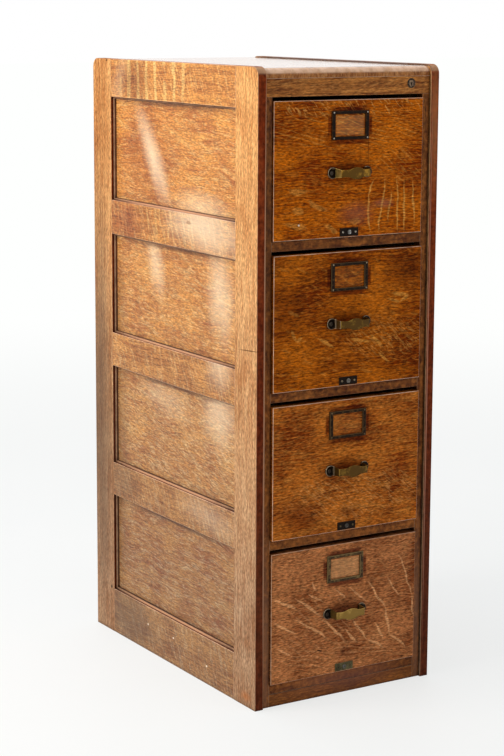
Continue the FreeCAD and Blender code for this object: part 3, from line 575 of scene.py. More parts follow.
@dataclass(frozen=True)
class PatinatedMetal:
    """Cast or rolled metal with the brown skin that brass, bronze and steel get.

    The eye gets a dull dark film that is rubbed through to bright metal on the edges and where fingers
    reach, with small pits. The film is rougher than the metal. cover is how much the film keeps, polish the
    roughness of the bare metal, and edge how much more the edges are rubbed. grain is how many patches of
    film lie along a metre: at 120 one is 8 mm wide.
    """

    name: str
    bright: str
    film: str
    cover: float = 0.5
    polish: float = 0.4
    film_roughness: float = 0.55
    edge: float = 0.6
    grain: float = 120.0
    marks: tuple[Mark, ...] = ()

    def material(self) -> Material:
        """Builds the metal.

        Returns:
            The finished material.
        """
        material, tree = new_tree(self.name)
        where = add(tree, "TexCoord", out="Object")
        cloud = add(tree, "TexNoise", {"Vector": where, "Scale": self.grain, "Detail": 5.0,
                                       "Roughness": 0.65})
        edges = arris_mask(tree, 0.99, 0.8)
        rubbed = add(tree, "Math", {0: edges, 1: self.edge * 0.35, 2: cloud}, operation="MULTIPLY_ADD")
        start, full = self.cover - 0.1, self.cover + 0.14
        bare = add(tree, "MapRange", {0: rubbed, 1: start, 2: full, 3: 0.0, 4: 1.0}, **SMOOTH)
        colour = add(tree, "Mix", {0: bare, 6: linear(self.film), 7: linear(self.bright)}, 2, **COLOURS)
        rough = add(tree, "MapRange", {0: bare, 1: 0.0, 2: 1.0, 3: self.film_roughness, 4: self.polish})
        metal = add(tree, "MapRange", {0: bare, 1: 0.0, 2: 1.0, 3: 0.75, 4: 1.0})
        for mark in self.marks:
            mask = mark.mask(tree)
            colour = add(tree, "Mix", {0: mask, 6: colour, 7: linear(mark.colour)}, 2, **COLOURS)
            dull = add(tree, "Math", {0: mask, 1: 0.85}, operation="MULTIPLY")
            metal = add(tree, "Math", {0: metal, 1: dull}, operation="SUBTRACT", use_clamp=True)
        pits = add(tree, "TexNoise", {"Vector": where, "Scale": self.grain * 6, "Detail": 3.0})
        normal = add(tree, "Bump", {"Height": pits, "Strength": 0.25, "Distance": 0.0003})
        add(tree, "OutputMaterial", {0: add(tree, "BsdfPrincipled", {
            "Base Color": colour,
            "Roughness": rough,
            "Metallic": metal,
            "Normal": normal,
            "Specular IOR Level": 0.25,
        })})
        return material


def solids_of(mesh: Mesh) -> list[list[list[Place]]]:
    """Splits a mesh into its closed solids, by the order in which it holds them.

    Args:
        mesh: A mesh whose corners may be split.

    Returns:
        For each solid its faces, each a list of corner places.
    """
    loose: set[frozenset[Place]] = set()
    faces: list[list[Place]] = []
    found = []
    places = [tuple(round(part, 6) for part in vertex.co) for vertex in mesh.vertices]
    for polygon in mesh.polygons:
        corners = [places[index] for index in polygon.vertices]
        if len(set(corners)) < 3:
            continue
        for start, end in zip(corners, corners[1:] + corners[:1]):
            loose ^= {frozenset((start, end))}
        faces.append(corners)
        if not loose:
            found.append(faces)
            faces = []
    if faces:
        found.append(faces)
    return found


def is_sharp(edge: BMEdge, angle: float) -> bool:
    """Tells whether two faces meet at an edge at more than an angle in degrees."""
    return len(edge.link_faces) == 2 and edge.calc_face_angle(0.0) > math.radians(angle)


def joined(name: str, solids: list[BMesh], material: Material) -> Object:
    """Puts finished solids together into one object.

    Args:
        name: The piece's name.
        solids: The solids, which are freed here.
        material: Its material.

    Returns:
        The new object.
    """
    whole = bpy.data.meshes.new(name)
    gathered = bmesh.new()
    for solid in solids:
        part = bpy.data.meshes.new("part")
        solid.to_mesh(part)
        solid.free()
        gathered.from_mesh(part)
        bpy.data.meshes.remove(part)
    for face in gathered.faces:
        face.smooth = True
    for edge in gathered.edges:
        if is_sharp(edge, CREASE):
            edge.smooth = False
    gathered.to_mesh(whole)
    gathered.free()
    whole.materials.append(material)
    piece = bpy.data.objects.new(name, whole)
    bpy.context.scene.collection.objects.link(piece)
    flat = piece.modifiers.new("flat_faces", "WEIGHTED_NORMAL")
    flat.keep_sharp = True
    return piece


_materials: dict[str, Material] = {}


def placed(name: str, solids: list[BMesh], finish: QuarterSawnOak | PatinatedMetal, body: str,
           node: str) -> None:
    """Turns finished solids into a piece of the object.

    Args:
        name: The piece's name.
        solids: The solids, which are freed here.
        finish: Its finish, whose material is built once.
        body: The body that it rides on.
        node: The node that it stands for.
    """
    if finish.name not in _materials:
        _materials[finish.name] = finish.material()
    piece = joined(name, solids, _materials[finish.name])
    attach(piece, body)
    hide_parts(node)
    log.info("%s: %d faces", name, len(piece.data.polygons))


def lay_wood(solid: BMesh, seed: int, grain: Axis | None) -> None:
    """Gives each corner its place in the board that it was sawn from.

    Args:
        solid: One board.
        seed: A number that keeps boards apart.
        grain: The way that the fibres run, or None for the longest side.
    """
    draw = random.Random(seed)
    low = [min(vertex.co[axis] for vertex in solid.verts) for axis in range(3)]
    high = [max(vertex.co[axis] for vertex in solid.verts) for axis in range(3)]
    order = sorted(range(3), key=lambda axis: low[axis] - high[axis])
    if grain is not None:
        order.remove(grain.value)
        order.insert(0, grain.value)
    shift = [draw.uniform(-APART, APART) for _ in range(3)]
    wood = solid.verts.layers.float_vector.new("wood")
    tone = solid.verts.layers.float.new("tone")
    shade = draw.random()
    for vertex in solid.verts:
        vertex[wood] = Vector([vertex.co[axis] + shift[place] for place, axis in enumerate(order)])
        vertex[tone] = shade


@dataclass
class Worked:
    """A node of the model worked up by hand: its solids get rounded arrises and a finish."""

    node: str
    body: str
    slot: str
    finish: QuarterSawnOak | PatinatedMetal
    arris: float = 0.8 * MM
    grain: Axis | None = None
    steps: int = 3

    def build(self) -> None:
        """Builds the piece and puts it in the node's place."""
        found = solids_of(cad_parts[self.node].data)
        solids = [self.rounded(faces, number) for number, faces in enumerate(found)]
        placed(self.node + "_piece", solids, self.finish, self.body, self.node)

    def rounded(self, faces: list[list[Place]], number: int) -> BMesh:
        """Rounds the sharp edges of one solid.

        Args:
            faces: Its faces.
            number: Its place among the node's solids.

        Returns:
            The solid.
        """
        solid = bmesh.new()
        corners: dict[Place, BMVert] = {}
        for face in faces:
            ring = []
            for place in face:
                if place not in corners:
                    corners[place] = solid.verts.new(place)
                ring.append(corners[place])
            solid.faces.new(ring)
        bmesh.ops.recalc_face_normals(solid, faces=solid.faces)
        bmesh.ops.dissolve_limit(solid, angle_limit=math.radians(ONE_FACE), verts=solid.verts,
                                 edges=solid.edges)
        if self.arris:
            sharp = [edge for edge in solid.edges if is_sharp(edge, ARRIS_ANGLE)]
            bmesh.ops.bevel(solid, geom=sharp, offset=self.arris, offset_type="OFFSET", segments=self.steps,
                            profile=0.5, affect="EDGES", clamp_overlap=True)
        lay_wood(solid, sum(map(ord, self.node)) * 31 + number, self.grain)
        return solid


# Finishes of the carcass. The sides have pale patches of painted window reflection


def window_glare(place: Place, half: tuple[float, float], turn: float, amount: float) -> Mark:
    """A pale patch of painted window reflection on a side.

    Args:
        place: Its middle, in millimetres.
        half: Its half-lengths along the side and upwards.
        turn: Its turn in degrees.
        amount: How much it covers.

    Returns:
        The mark.
    """
    spread = (40.0, half[0] * 1.25, half[1] * 1.25)
    return Mark(place, spread, "#e6d0b4", amount, 1.0, 0.15, lay=Lay.LIGHTEN, turn=(turn, 0.0, 0.0))


LOWER = "#c4d2ff"
# Painted shade for the faces of the sides that look up
UPWARD_SHADE = "#b08c7c"
PALE_RAY = "#eac07c"
# Painted shadow in the step between the top of the right side and the top board
INNER_EDGE_SHADE = Mark((201, 0, 1319), (3, 420, 3.5), "#4a3a36", 0.85, 0.3, 0.1, True)
FINE_DASHES = Rays(30, 3.8, 0.42, 4, PALE_RAY, 0.5, 0.66)
BAY_LOWS = (103, 404.25, 705.5, 1006.75)
BAY_TOPS = (328.25, 629.5, 930.75, 1236.5)
SIDE_STILES = QuarterSawnOak(
    "fumed_oak_side_stiles", "#b67642", "#e6ae70", (Rays(60, 3.4, 0.2, 3, PALE_RAY),),
    # Painted shade on the pilaster fronts and on the faces that look up
    streak_wide=6, lower=LOWER, forward_stain_and_shade="#90543e", upward_shade=UPWARD_SHADE, wear_and_highlight=0.7, gloss=0.03, marks=(
        # Painted shade towards the back of the side, where the window light falls off
        Mark((-221, 345, 520), (40, 90, 680), "#54443a", 0.72, 0.9, 0.3),
        Mark((-221, 330, 1180), (40, 80, 330), "#d4c6ba", 0.8, 0.9, lay=Lay.DARKEN),
        INNER_EDGE_SHADE,
        Mark((-221, -300, 22), (20, 26, 14), "#b4601c", 0.4, 0.9),
        Mark((-221, -306, 752), (20, 50, 1.6), "#3a1a0a", 0.8, 0.6, turn=(-4, 0, 0)),
        Mark((-221, 295, 105), (8, 5, 5), "#22100a", 0.9),
        Mark((-221, 300, 1316.5), (8, 4, 4), "#2a140a", 0.9),
        # Pale lines on the pilasters' inner arrises: wear and a painted highlight
        Mark((-202.4, -337, 660), (2.6, 4, 720), "#b98c6c", 0.75, 0.3, 0.5),
        Mark((205, -337, 660), (1.8, 3, 720), "#c08a70", 0.7, 0.6, 0.6),
        # Painted shade on the inner face of the right pilaster's step
        Mark((202.3, -332.4, 660), (1.6, 3.6, 740), "#140804", 0.9, 0.3, 0.05, True),
        Mark((-212, -337, 240), (14, 12, 420), "#5a341c", 0.3, 0.9),
        Mark((212, -337, 240), (14, 12, 420), "#4a3024", 0.3, 0.9),
        Mark((212, -337, 1200), (14, 12, 200), "#c08050", 0.4, 0.9),
    ))
SIDE_RAILS = QuarterSawnOak(
    "fumed_oak_side_rails", "#9a5824", "#cc8a42", (
        Rays(36, 5, 0.35, 64, PALE_RAY, 0.5, 0.66),
        Rays(120, 40, 0.6, 88, "#edc67c", 0.42, 0.5, 4.0, 0.2, Figure.WAVES,
             ((-221, 100, 1285), (60, 180, 110))),
        Rays(90, 17, 0.3, 80, "#edc67c", 0.5, 0.6, 5.0, 0.2, Figure.WAVES,
             ((-221, 90, 968), (60, 220, 90))),
    ), streak_wide=6, lower=LOWER, upward_shade=UPWARD_SHADE, worn_and_highlight="#e6bc9c", wear_and_highlight=0.8, contrast=1.2, mottle=0.4, marks=(
        # Pale patches of painted window reflection
        window_glare((-221, -125, 985), (175, 66), 6, 0.65),
        window_glare((-221, 240, 1275), (32, 76), 24, 0.22),
        # Painted shade towards the back of the rails
        Mark((-221, 190, 1275), (40, 150, 60), "#bea898", 0.8, 0.9, lay=Lay.DARKEN),
        Mark((-221, 215, 968), (40, 120, 70), "#cba08c", 0.8, 0.9, lay=Lay.DARKEN),
        INNER_EDGE_SHADE,
        window_glare((-221, -190, 705), (60, 66), 0, 0.4),
        window_glare((-221, -150, 370), (150, 40), 6, 0.2),
        # Painted shade towards the back of the lower rails
        Mark((-221, 250, 370), (40, 120, 60), "#54402f", 0.4, 0.8),
        Mark((-221, 220, 50), (40, 190, 80), "#54402f", 0.5, 0.8),
        Mark((-221, -63, 988), (20, 12, 5), "#8a5a38", 0.6),
        Mark((-221, 120, 62), (20, 3, 3), "#e0d0bc", 0.9, 0.3),
        Mark((-221, 5, 62), (20, 3, 2.5), "#f0e0cc", 0.9, 0.3),
        Mark((-221, -140, 40), (20, 3, 2.5), "#f0e0cc", 0.9, 0.3),
    ))
SIDE_PANELS = QuarterSawnOak(
    "fumed_oak_side_panels", "#a05a2a", "#d28e42", (
        FINE_DASHES,
        Rays(36, 3.2, 0.3, 26, PALE_RAY, region=((-210, 0, 520), (60, 330, 150))),
        Rays(70, 14, 0.25, 12, "#e8bc74", 0.5, 0.7),
    ), wander=9, streak_wide=5, fibre_wide=2.4, contrast=0.95, mottle=0.45, lower=LOWER, corner_shade_and_dirt=0.8,
    corner_shade_reach=26, marks=(
        # Painted shade towards the back of the top panel
        Mark((-210, 150, 1120), (40, 190, 150), "#d8bca4", 0.8, 0.9, lay=Lay.DARKEN),
        # Pale patches of painted window reflection
        window_glare((-210, 108, 1112), (38, 128), -33, 0.62),
        window_glare((-210, -100, 1020), (130, 40), 4, 0.4),
        window_glare((-210, 100, 885), (40, 86), -18, 0.45),
        window_glare((-210, -175, 850), (60, 120), -8, 0.5),
        window_glare((-210, -170, 600), (76, 95), 0, 0.45),
        window_glare((-210, 60, 590), (130, 45), 10, 0.2),
        # Painted shade towards the back of the panels
        Mark((-210, 270, 500), (40, 60, 520), "#5c4634", 0.35, 0.8),
    # Painted shadow that each rail casts on the panel below it
    ) + tuple(Mark((-210, 15, top - 7), (20, 275, 9), "#7c5a4a", 0.7, 0.9, 0.1, True, Lay.DARKEN)
              for top in BAY_TOPS))
BEADS = QuarterSawnOak(
    "fumed_oak_beads", "#381606", "#6a3414", wear_and_highlight=0.45, corner_shade_and_dirt=0.95, corner_shade_reach=12, lower=LOWER, gloss=0.15,
    # Painted highlight on the bottom beads, which face up into the light
    marks=tuple(Mark((-217, 15, low + 1.5), (8, 268, 2.6), "#d09c78", 0.75, 0.6, 0.2, True)
                for low in BAY_LOWS))
TOP = QuarterSawnOak(
    "fumed_oak_top", "#86501e", "#ba8246", (Rays(60, 6, 0.5, 8, "#cc9c62"),), contrast=1.3, roughness=0.24,
    # The front edge gets a slight painted shade; the pale arrises are worn wood and a painted highlight
    worn_and_highlight="#eac2a2", wear_and_highlight=0.9, gloss=0.1, coat=1.0, forward_stain_and_shade="#f4e4dc", grit=0.2)
FACE = QuarterSawnOak(
    "fumed_oak_face", "#54280c", "#8c5220", (Rays(26, 3.4, 0.3, 14, "#a8672c"),), streak_wide=4, gloss=0.1,
    corner_shade_and_dirt=0.85, corner_shade_reach=12, marks=(
        Mark((-193, -331, 1000), (14, 14, 420), "#2a1206", 0.45, 0.9),
        Mark((-193, -331, 120), (14, 14, 330), "#86604a", 0.5, 0.9),
        Mark((193, -331, 120), (14, 14, 330), "#86604a", 0.5, 0.9),
        Mark((0, -331, 30), (200, 14, 40), "#805248", 0.4, 0.9),
    ))
TOP_RAIL = QuarterSawnOak(
    "fumed_oak_top_rail", "#703a14", "#c07a36", (Rays(24, 3.4, 0.4, 10, "#cc8c48"),), streak_wide=5, wear_and_highlight=0.7,
    gloss=0.1)
BACK = QuarterSawnOak(
    "fumed_oak_back", "#7a4a24", "#a8713c", (Rays(34, 4, 0.35, 4, "#c08c52"),), wear_and_highlight=0.4, roughness=0.6)
BARE = QuarterSawnOak(
    "bare_oak_drawer_sides", "#a07c50", "#c8a878", (Rays(30, 3, 0.3, 4, "#d8bc90"),), worn_and_highlight="#dcc49c",
    wear_and_highlight=0.3, roughness=0.68)

# The drawers, from the top: how far forward the fronts are and how high their origins are, in millimetres
DRAWER_PLACES = ((-335, 973), (-338.5, 665), (-339, 357), (-336.5, 49))


def handled(place_y: float, low: float, card: float) -> tuple[Mark, ...]:
    """The marks that every drawer front has: darker wood round the pull and the rod, dirt and painted shade
    round the card frame, and the paler wood that the card kept.

    Args:
        place_y: The front's face, in millimetres.
        low: Height of the drawer's origin.
        card: How much paler the wood is that the card covered.

    Returns:
        The marks.
    """
    pull, frame_z, rod = low + 134, low + 227, low + 40
    ring = ((0, 32, 56, 8), (0, -32, 56, 8), (-48, 0, 8, 26), (48, 0, 8, 26))
    # Dirt and painted shade round the card frame
    frame_shade_and_dirt = tuple(
        Mark((x, place_y, frame_z + z), (wide, 30, high), "#a07c6c", 0.9, 0.5, 0.05, True, Lay.DARKEN)
        for x, z, wide, high in ring)
    return (
        Mark((0, place_y, pull), (82, 30, 32), "#8c6858", 0.85, 0.9, lay=Lay.DARKEN),
        Mark((0, place_y, frame_z), (38, 30, 22), "#c89a68", card, 0.2, 0.05, True, Lay.LIGHTEN),
        Mark((0, place_y, rod), (34, 30, 18), "#8c6858", 0.6, 0.9, lay=Lay.DARKEN),
        *frame_shade_and_dirt)


# The fronts' pale arrises are worn wood and a painted highlight along the edges
FRONT_OAK = QuarterSawnOak(
    "fumed_oak_drawer", "#762a00", "#ca6a0a", worn_and_highlight="#f0cdb0", wear_and_highlight=1.0, gloss=0.03, streak_wide=3.4,
    fibre_wide=2.2, grit=0.6, contrast=0.9, mottle=0.8, mottle_size=110)
DRAWER_OAK = (
    replace(FRONT_OAK, name="fumed_oak_drawer_1", rays=(
        Rays(26, 3.0, 0.35, 0, "#c87c28", 0.5, 0.6),
        Rays(28, 4.5, 0.55, -52, "#d8984a", 0.56, 0.62, region=((0, -335, 1240), (230, 60, 26))),
        Rays(90, 9, 0.5, -16, "#cc8838", 0.48, 0.56, 5.0, 0.5, Figure.WAVES,
             ((0, -335, 1195), (220, 60, 48))),
        Rays(60, 9, 0.35, -38, "#d08c3c", 0.48, 0.58, 9.0, 0.3, Figure.WAVES,
             ((125, -335, 1115), (72, 60, 44))),
        Strokes(((49, 1060, 50, 980), (89, 1085, 71, 979), (118, 1084, 124, 977), (136, 1083, 139, 978),
                 (159, 1079, 165, 987), (104, 1060, 98, 1000), (60, 1085, 49, 1055)),
                2.6, 0.62, "#dc9c48", 15.0),
        Strokes(((-151, 1074, -101, 1067), (-101, 1048, -52, 1030), (-155, 1010, -103, 995),
                 (0, 1003, 31, 1007), (-60, 1000, -30, 986), (-140, 1040, -110, 1025)),
                7.0, 0.5, "#cc8a3a", 22.0),
    ), marks=(
        *handled(-335, 973, 0.26),
        Mark((20, -335, 1020), (60, 30, 34), "#a0604a", 0.35, 0.9),
        Mark((85, -335, 1038), (36, 30, 14), "#b87a5c", 0.3, 0.9),
        Mark((-122, -335, 1003), (2.4, 30, 2.2), "#f0e8d8", 0.9, 0.3),
        Mark((46, -335, 1150), (1.6, 30, 40), "#4a1c06", 0.5),
    )),
    replace(FRONT_OAK, name="fumed_oak_drawer_2", dark="#682600", light="#b25e0c", rays=(
        Rays(24, 3.0, 0.35, 12, "#b86c20", 0.5, 0.6),
        Rays(34, 7, 0.35, -20, "#c88434", 0.58, 0.7),
        Rays(22, 3.4, 0.4, -40, "#c88a40", 0.5, 0.6, region=((90, -338, 760), (120, 60, 50))),
        Strokes(((-140, 790, -128, 768), (-128, 768, -113, 773), (-73, 769, -35, 749), (108, 851, 150, 845),
                 (150, 845, 131, 833), (97, 838, 131, 833), (-147, 830, -121, 819), (55, 765, 88, 744),
                 (77, 726, 105, 706), (6, 762, 55, 751)), 4.0, 0.7, "#c88636", 14.0),
    ), marks=(
        *handled(-338, 665, 0.06),
        Mark((150, -338, 900), (80, 30, 60), "#8c7060", 0.7, 0.9, lay=Lay.DARKEN),
        Mark((-150, -338, 830), (60, 30, 90), "#9c7c6c", 0.6, 0.9, lay=Lay.DARKEN),
        Mark((17, -338, 797), (3.5, 30, 2.5), "#e8e0d0", 0.9, 0.3),
    )),
    replace(FRONT_OAK, name="fumed_oak_drawer_3", dark="#702c06", light="#ba6820", rays=(
        Rays(20, 2.8, 0.35, 10, "#c07e38", 0.5, 0.6),
        Rays(60, 12, 0.25, 2, "#c4863c", 0.5, 0.7),
        Rays(22, 3.4, 0.4, -40, "#c88c4c", 0.5, 0.6, region=((20, -339, 430), (200, 60, 60))),
    ), contrast=0.85, mottle=0.75, mottle_size=90, marks=(
        *handled(-339, 357, 0.04),
        Mark((-120, -339, 400), (90, 30, 50), "#a48474", 0.7, 0.9, lay=Lay.DARKEN),
    )),
    replace(FRONT_OAK, name="fumed_oak_drawer_4", dark="#723612", light="#b67242", rays=(
        Rays(16, 3.0, 0.35, 4, "#bc8450", 0.5, 0.6),
        Rays(60, 10, 0.45, -8, "#d09460", 0.48, 0.56, 6.0, 0.5, Figure.WAVES,
             ((0, -336.5, 88), (240, 60, 34))),
        Rays(50, 13, 0.3, -46, "#cc9060", 0.5, 0.58, 6.0, 0.6, Figure.WAVES,
             ((-60, -336.5, 160), (130, 60, 80))),
        Strokes(((-177, 234, -121, 202), (-121, 224, -61, 182), (-61, 176, -1, 118), (-176, 181, -125, 152),
                 (-119, 179, -44, 130), (21, 159, 59, 109), (59, 109, 104, 86), (3, 139, 31, 107),
                 (78, 139, 102, 103), (61, 234, 105, 169), (105, 169, 120, 108), (120, 108, 162, 75)),
                3.2, 0.7, "#dca06a", 16.0),
        Strokes(((141, 282, 175, 188), (175, 188, 178, 144), (113, 235, 142, 194), (-81, 256, -72, 235),
                 (-26, 233, 2, 207), (14, 230, 55, 193), (-170, 127, -135, 104), (-91, 231, -55, 209)),
                2.6, 0.65, "#d89c68", 14.0),
    ), wander=12, worn_and_highlight="#e0b898", wear_and_highlight=0.9, gloss=0.07, contrast=0.85, mottle=0.75, mottle_size=80, marks=(
        *handled(-336.5, 49, 0.32),
        Mark((-62, -336.5, 104), (8, 30, 2), "#2a1006", 0.9, 0.3, turn=(0, 20, 0)),
    )),
)

# Bronze: cast and left to brown. Brass: rolled, lacquer long gone. Steel: drawn or pressed, never plated
BRONZE = PatinatedMetal("bronze_dark_skin", "#3c2614", "#120904", cover=0.62, grain=150.0)
FEET = PatinatedMetal(
    "bronze_cast_feet", "#8c7a62", "#160e08", cover=0.7, polish=0.35, film_roughness=0.5, edge=1.3)
LOCK_RIM = PatinatedMetal("brass_lock_rim", "#4e4236", "#241a12", grain=300.0)
PLUG = PatinatedMetal("brass_lock_plug", "#74604c", "#463830", film_roughness=0.5, edge=0.8, grain=300.0)
STEEL = PatinatedMetal(
    "steel_dull", "#9a9894", "#4e4a46", polish=0.35, film_roughness=0.5, edge=0.5, grain=200.0, marks=(
        Mark((0, -342, 674), (8, 12, 8), "#5a5044", 0.6, 0.2),
        Mark((0, -342, 366), (8, 12, 8), "#30281e", 0.8, 0.2),
        Mark((0, -340, 58), (8, 12, 8), "#403828", 0.7, 0.2),
    ))


def strap_metal(number: int, bright: str, film: str, *marks: Mark) -> PatinatedMetal:
    """Rolled brass gone olive brown, one pull of the four.

    Args:
        number: The drawer's number.
        bright: Colour of the metal where it is rubbed.
        film: Colour of its film.
        *marks: Painted highlight and shade on the strap.

    Returns:
        The finish.
    """
    return PatinatedMetal("brass_strap_%d" % number, bright, film, cover=0.6, polish=0.34,
                          film_roughness=0.42, edge=0.45, grain=60.0, marks=marks)


def leg(place_y: float, low: float, colour: str, amount: float = 0.85, deep: float = 17.0) -> Mark:
    """Paints highlight on the left leg of a pull where the light falls on it, and shade where it does not.

    Args:
        place_y: How far forward the colour's middle is, in millimetres.
        low: Height of the drawer's origin.
        colour: Its colour.
        amount: How much it covers.
        deep: Half of its depth.

    Returns:
        The mark.
    """
    return Mark((-39.5, place_y, low + 132), (4.2, deep, 30), colour, amount, 0.4, 0.1, True)


# Painted highlight and shade on the left leg of each pull
STRAPS = (
    strap_metal(1, "#8a6626", "#4c3408", leg(-350, 973, "#ffdc7c", 1.0)),
    strap_metal(2, "#7e622a", "#4a320c", leg(-353, 665, "#805c34"), leg(-363, 665, "#ecdcc0", 0.9, 3),
                leg(-344, 665, "#e0ccae", 0.9, 3)),
    strap_metal(3, "#80622a", "#4c340e", leg(-355, 357, "#4a3818"), leg(-343, 357, "#c8b498", 0.9, 4)),
    strap_metal(4, "#b0904e", "#7c602c", leg(-350, 49, "#2a180a", 0.95)),
)


def pin_metal(number: int, bright: str, film: str, low: float, place_y: float) -> PatinatedMetal:
    """Round brass pins and screw heads; those of the pull are dark.

    Args:
        number: The drawer's number.
        bright: Colour of the metal where it is rubbed.
        film: Colour of its film.
        low: Height of the drawer's origin, in millimetres.
        place_y: The front's face.

    Returns:
        The finish.
    """
    dark = Mark((0, place_y, low + 132), (70, 30, 20), "#2a2018", 0.85, 0.1, 0.02, True)
    return PatinatedMetal("brass_pins_%d" % number, bright, film, cover=0.45, polish=0.35,
                          film_roughness=0.5, edge=0.9, grain=500.0, marks=(dark,))


PINS = (
    pin_metal(1, "#948c80", "#4a4238", 973, -335),
    pin_metal(2, "#847660", "#32281c", 665, -338),
    pin_metal(3, "#5c4e38", "#241a10", 357, -339),
    pin_metal(4, "#4a3e2a", "#1a120a", 49, -336.5),
)
FRAMES = (
    BRONZE,
    PatinatedMetal("bronze_frame_2", "#4a3824", "#140c06", cover=0.58, edge=0.9),
    PatinatedMetal("bronze_frame_3", "#4c3822", "#180e06", cover=0.56, edge=0.9),
    PatinatedMetal("bronze_frame_4", "#6c5838", "#33261a", cover=0.52, edge=0.9),
)
PLATES = (
    BRONZE,
    BRONZE,
    BRONZE,
    PatinatedMetal("brass_plate_4", "#5a533a", "#38321f", film_roughness=0.5, edge=0.7, grain=60.0),
)


@dataclass
class PanelBead:
    """The small moulding that holds the panels of a side, mitred at the corners."""

    sides: tuple[str, ...] = ("left", "right")
    face_x: float = 0.221
    low_y: float = -0.252
    high_y: float = 0.282
    setback: float = 4.7 * MM
    recess: float = 11 * MM
    width: float = 5 * MM
    fillet: float = 0.9 * MM
    step_in: float = 0.5 * MM
    round_wide: float = 3.4 * MM
    round_deep: float = 4.6 * MM
    quirk: float = 1.0 * MM

    def build(self) -> None:
        """Builds the beads of both sides."""
        for side in self.sides:
            sign = -1 if side == "left" else 1
            mesh = bmesh.new()
            wood = mesh.verts.layers.float_vector.new("wood")
            tone = mesh.verts.layers.float.new("tone")
            for number, bay in enumerate(zip(BAY_LOWS, BAY_TOPS)):
                self.ring(mesh, sign, (bay[0] * MM, bay[1] * MM), wood, tone, number)
            bmesh.ops.recalc_face_normals(mesh, faces=mesh.faces)
            placed(side + "_panel_moulding", [mesh], BEADS, "cabinet", "panel_beads")

    def profile(self) -> list[tuple[float, float]]:
        """The section: a fillet, a quarter round and a quirk.

        Returns:
            Pairs of distance from the frame's edge and depth below its face.
        """
        points = [(0.0, self.recess), (0.0, self.setback), (self.fillet, self.setback)]
        for angle in ARC:
            points.append((self.fillet + self.round_wide * math.sin(angle),
                           self.setback + self.step_in + self.round_deep * (1 - math.cos(angle))))
        points.append((self.width, self.recess - self.quirk))
        points.append((self.width, self.recess))
        return points

    def ring(self, mesh: BMesh, sign: int, bay: tuple[float, float], wood: Any, tone: Any,
             number: int) -> None:
        """Draws the section round one panel.

        Args:
            mesh: The mesh that gets it.
            sign: -1 for the left side and 1 for the right one.
            bay: Lower and upper edge of the opening.
            wood: Layer for the place in the wood.
            tone: Layer for the board's shade.
            number: Which panel it is.
        """
        rings = []
        for inset, depth in self.profile():
            x = sign * (self.face_x - depth)
            low_y, high_y = self.low_y + inset, self.high_y - inset
            low_z, high_z = bay[0] + inset, bay[1] - inset
            rings.append([(x, low_y, low_z), (x, high_y, low_z), (x, high_y, high_z), (x, low_y, high_z)])
        for side in range(4):
            strip = []
            for ring in rings:
                pair = [mesh.verts.new(ring[side]), mesh.verts.new(ring[(side + 1) % 4])]
                for vertex in pair:
                    along, across = (1, 2) if side % 2 == 0 else (2, 1)
                    vertex[wood] = Vector((vertex.co[along] + side + number, vertex.co[across], vertex.co[0]))
                    vertex[tone] = 0.3 + 0.1 * side
                strip.append(pair)
            for near, far in zip(strip, strip[1:] + strip[:1]):
                mesh.faces.new((near[0], near[1], far[1], far[0]))


@dataclass
class Carcass:
    """The case: framed sides and back, top, face frame and what carries the drawers."""

    boards: tuple[Worked, ...] = (
        Worked("left_side_stiles", "cabinet", "oak", SIDE_STILES, 0.7 * MM),
        Worked("right_side_stiles", "cabinet", "oak", SIDE_STILES, 0.7 * MM),
        Worked("left_side_rails", "cabinet", "oak", SIDE_RAILS, 1.2 * MM),
        Worked("right_side_rails", "cabinet", "oak", SIDE_RAILS, 1.2 * MM),
        Worked("left_side_panels", "cabinet", "oak", SIDE_PANELS, 0.0),
        Worked("right_side_panels", "cabinet", "oak", SIDE_PANELS, 0.0),
        Worked("back_frame", "cabinet", "oak", BACK),
        Worked("back_panels", "cabinet", "oak", BACK, 0.0),
        Worked("top_board", "cabinet", "oak", TOP, 0.0, Axis.Y),
        Worked("top_rail", "cabinet", "oak", TOP_RAIL),
        Worked("face_stiles", "cabinet", "oak", FACE),
        Worked("divider_rails", "cabinet", "oak", FACE),
        Worked("plinth_rail", "cabinet", "oak", FACE),
        Worked("drawer_runners", "cabinet", "drawer_wood", BARE),
        Worked("top_kickers", "cabinet", "drawer_wood", BARE),
    )
    beads: PanelBead = field(default_factory=PanelBead)

    def build(self) -> None:
        """Builds every board and moulding of the case."""
        for board in self.boards:
            board.build()
        self.beads.build()


def skin(mesh: BMesh, rings: list[list[BMVert]]) -> None:
    """Joins rings of corners by faces and closes both ends.

    Args:
        mesh: The mesh that gets the faces.
        rings: The rings, each of the same number of corners.
    """
    for near, far in zip(rings, rings[1:]):
        for index in range(len(near)):
            follow = (index + 1) % len(near)
            mesh.faces.new((near[index], near[follow], far[follow], far[index]))
    mesh.faces.new(rings[0])
    mesh.faces.new(rings[-1])


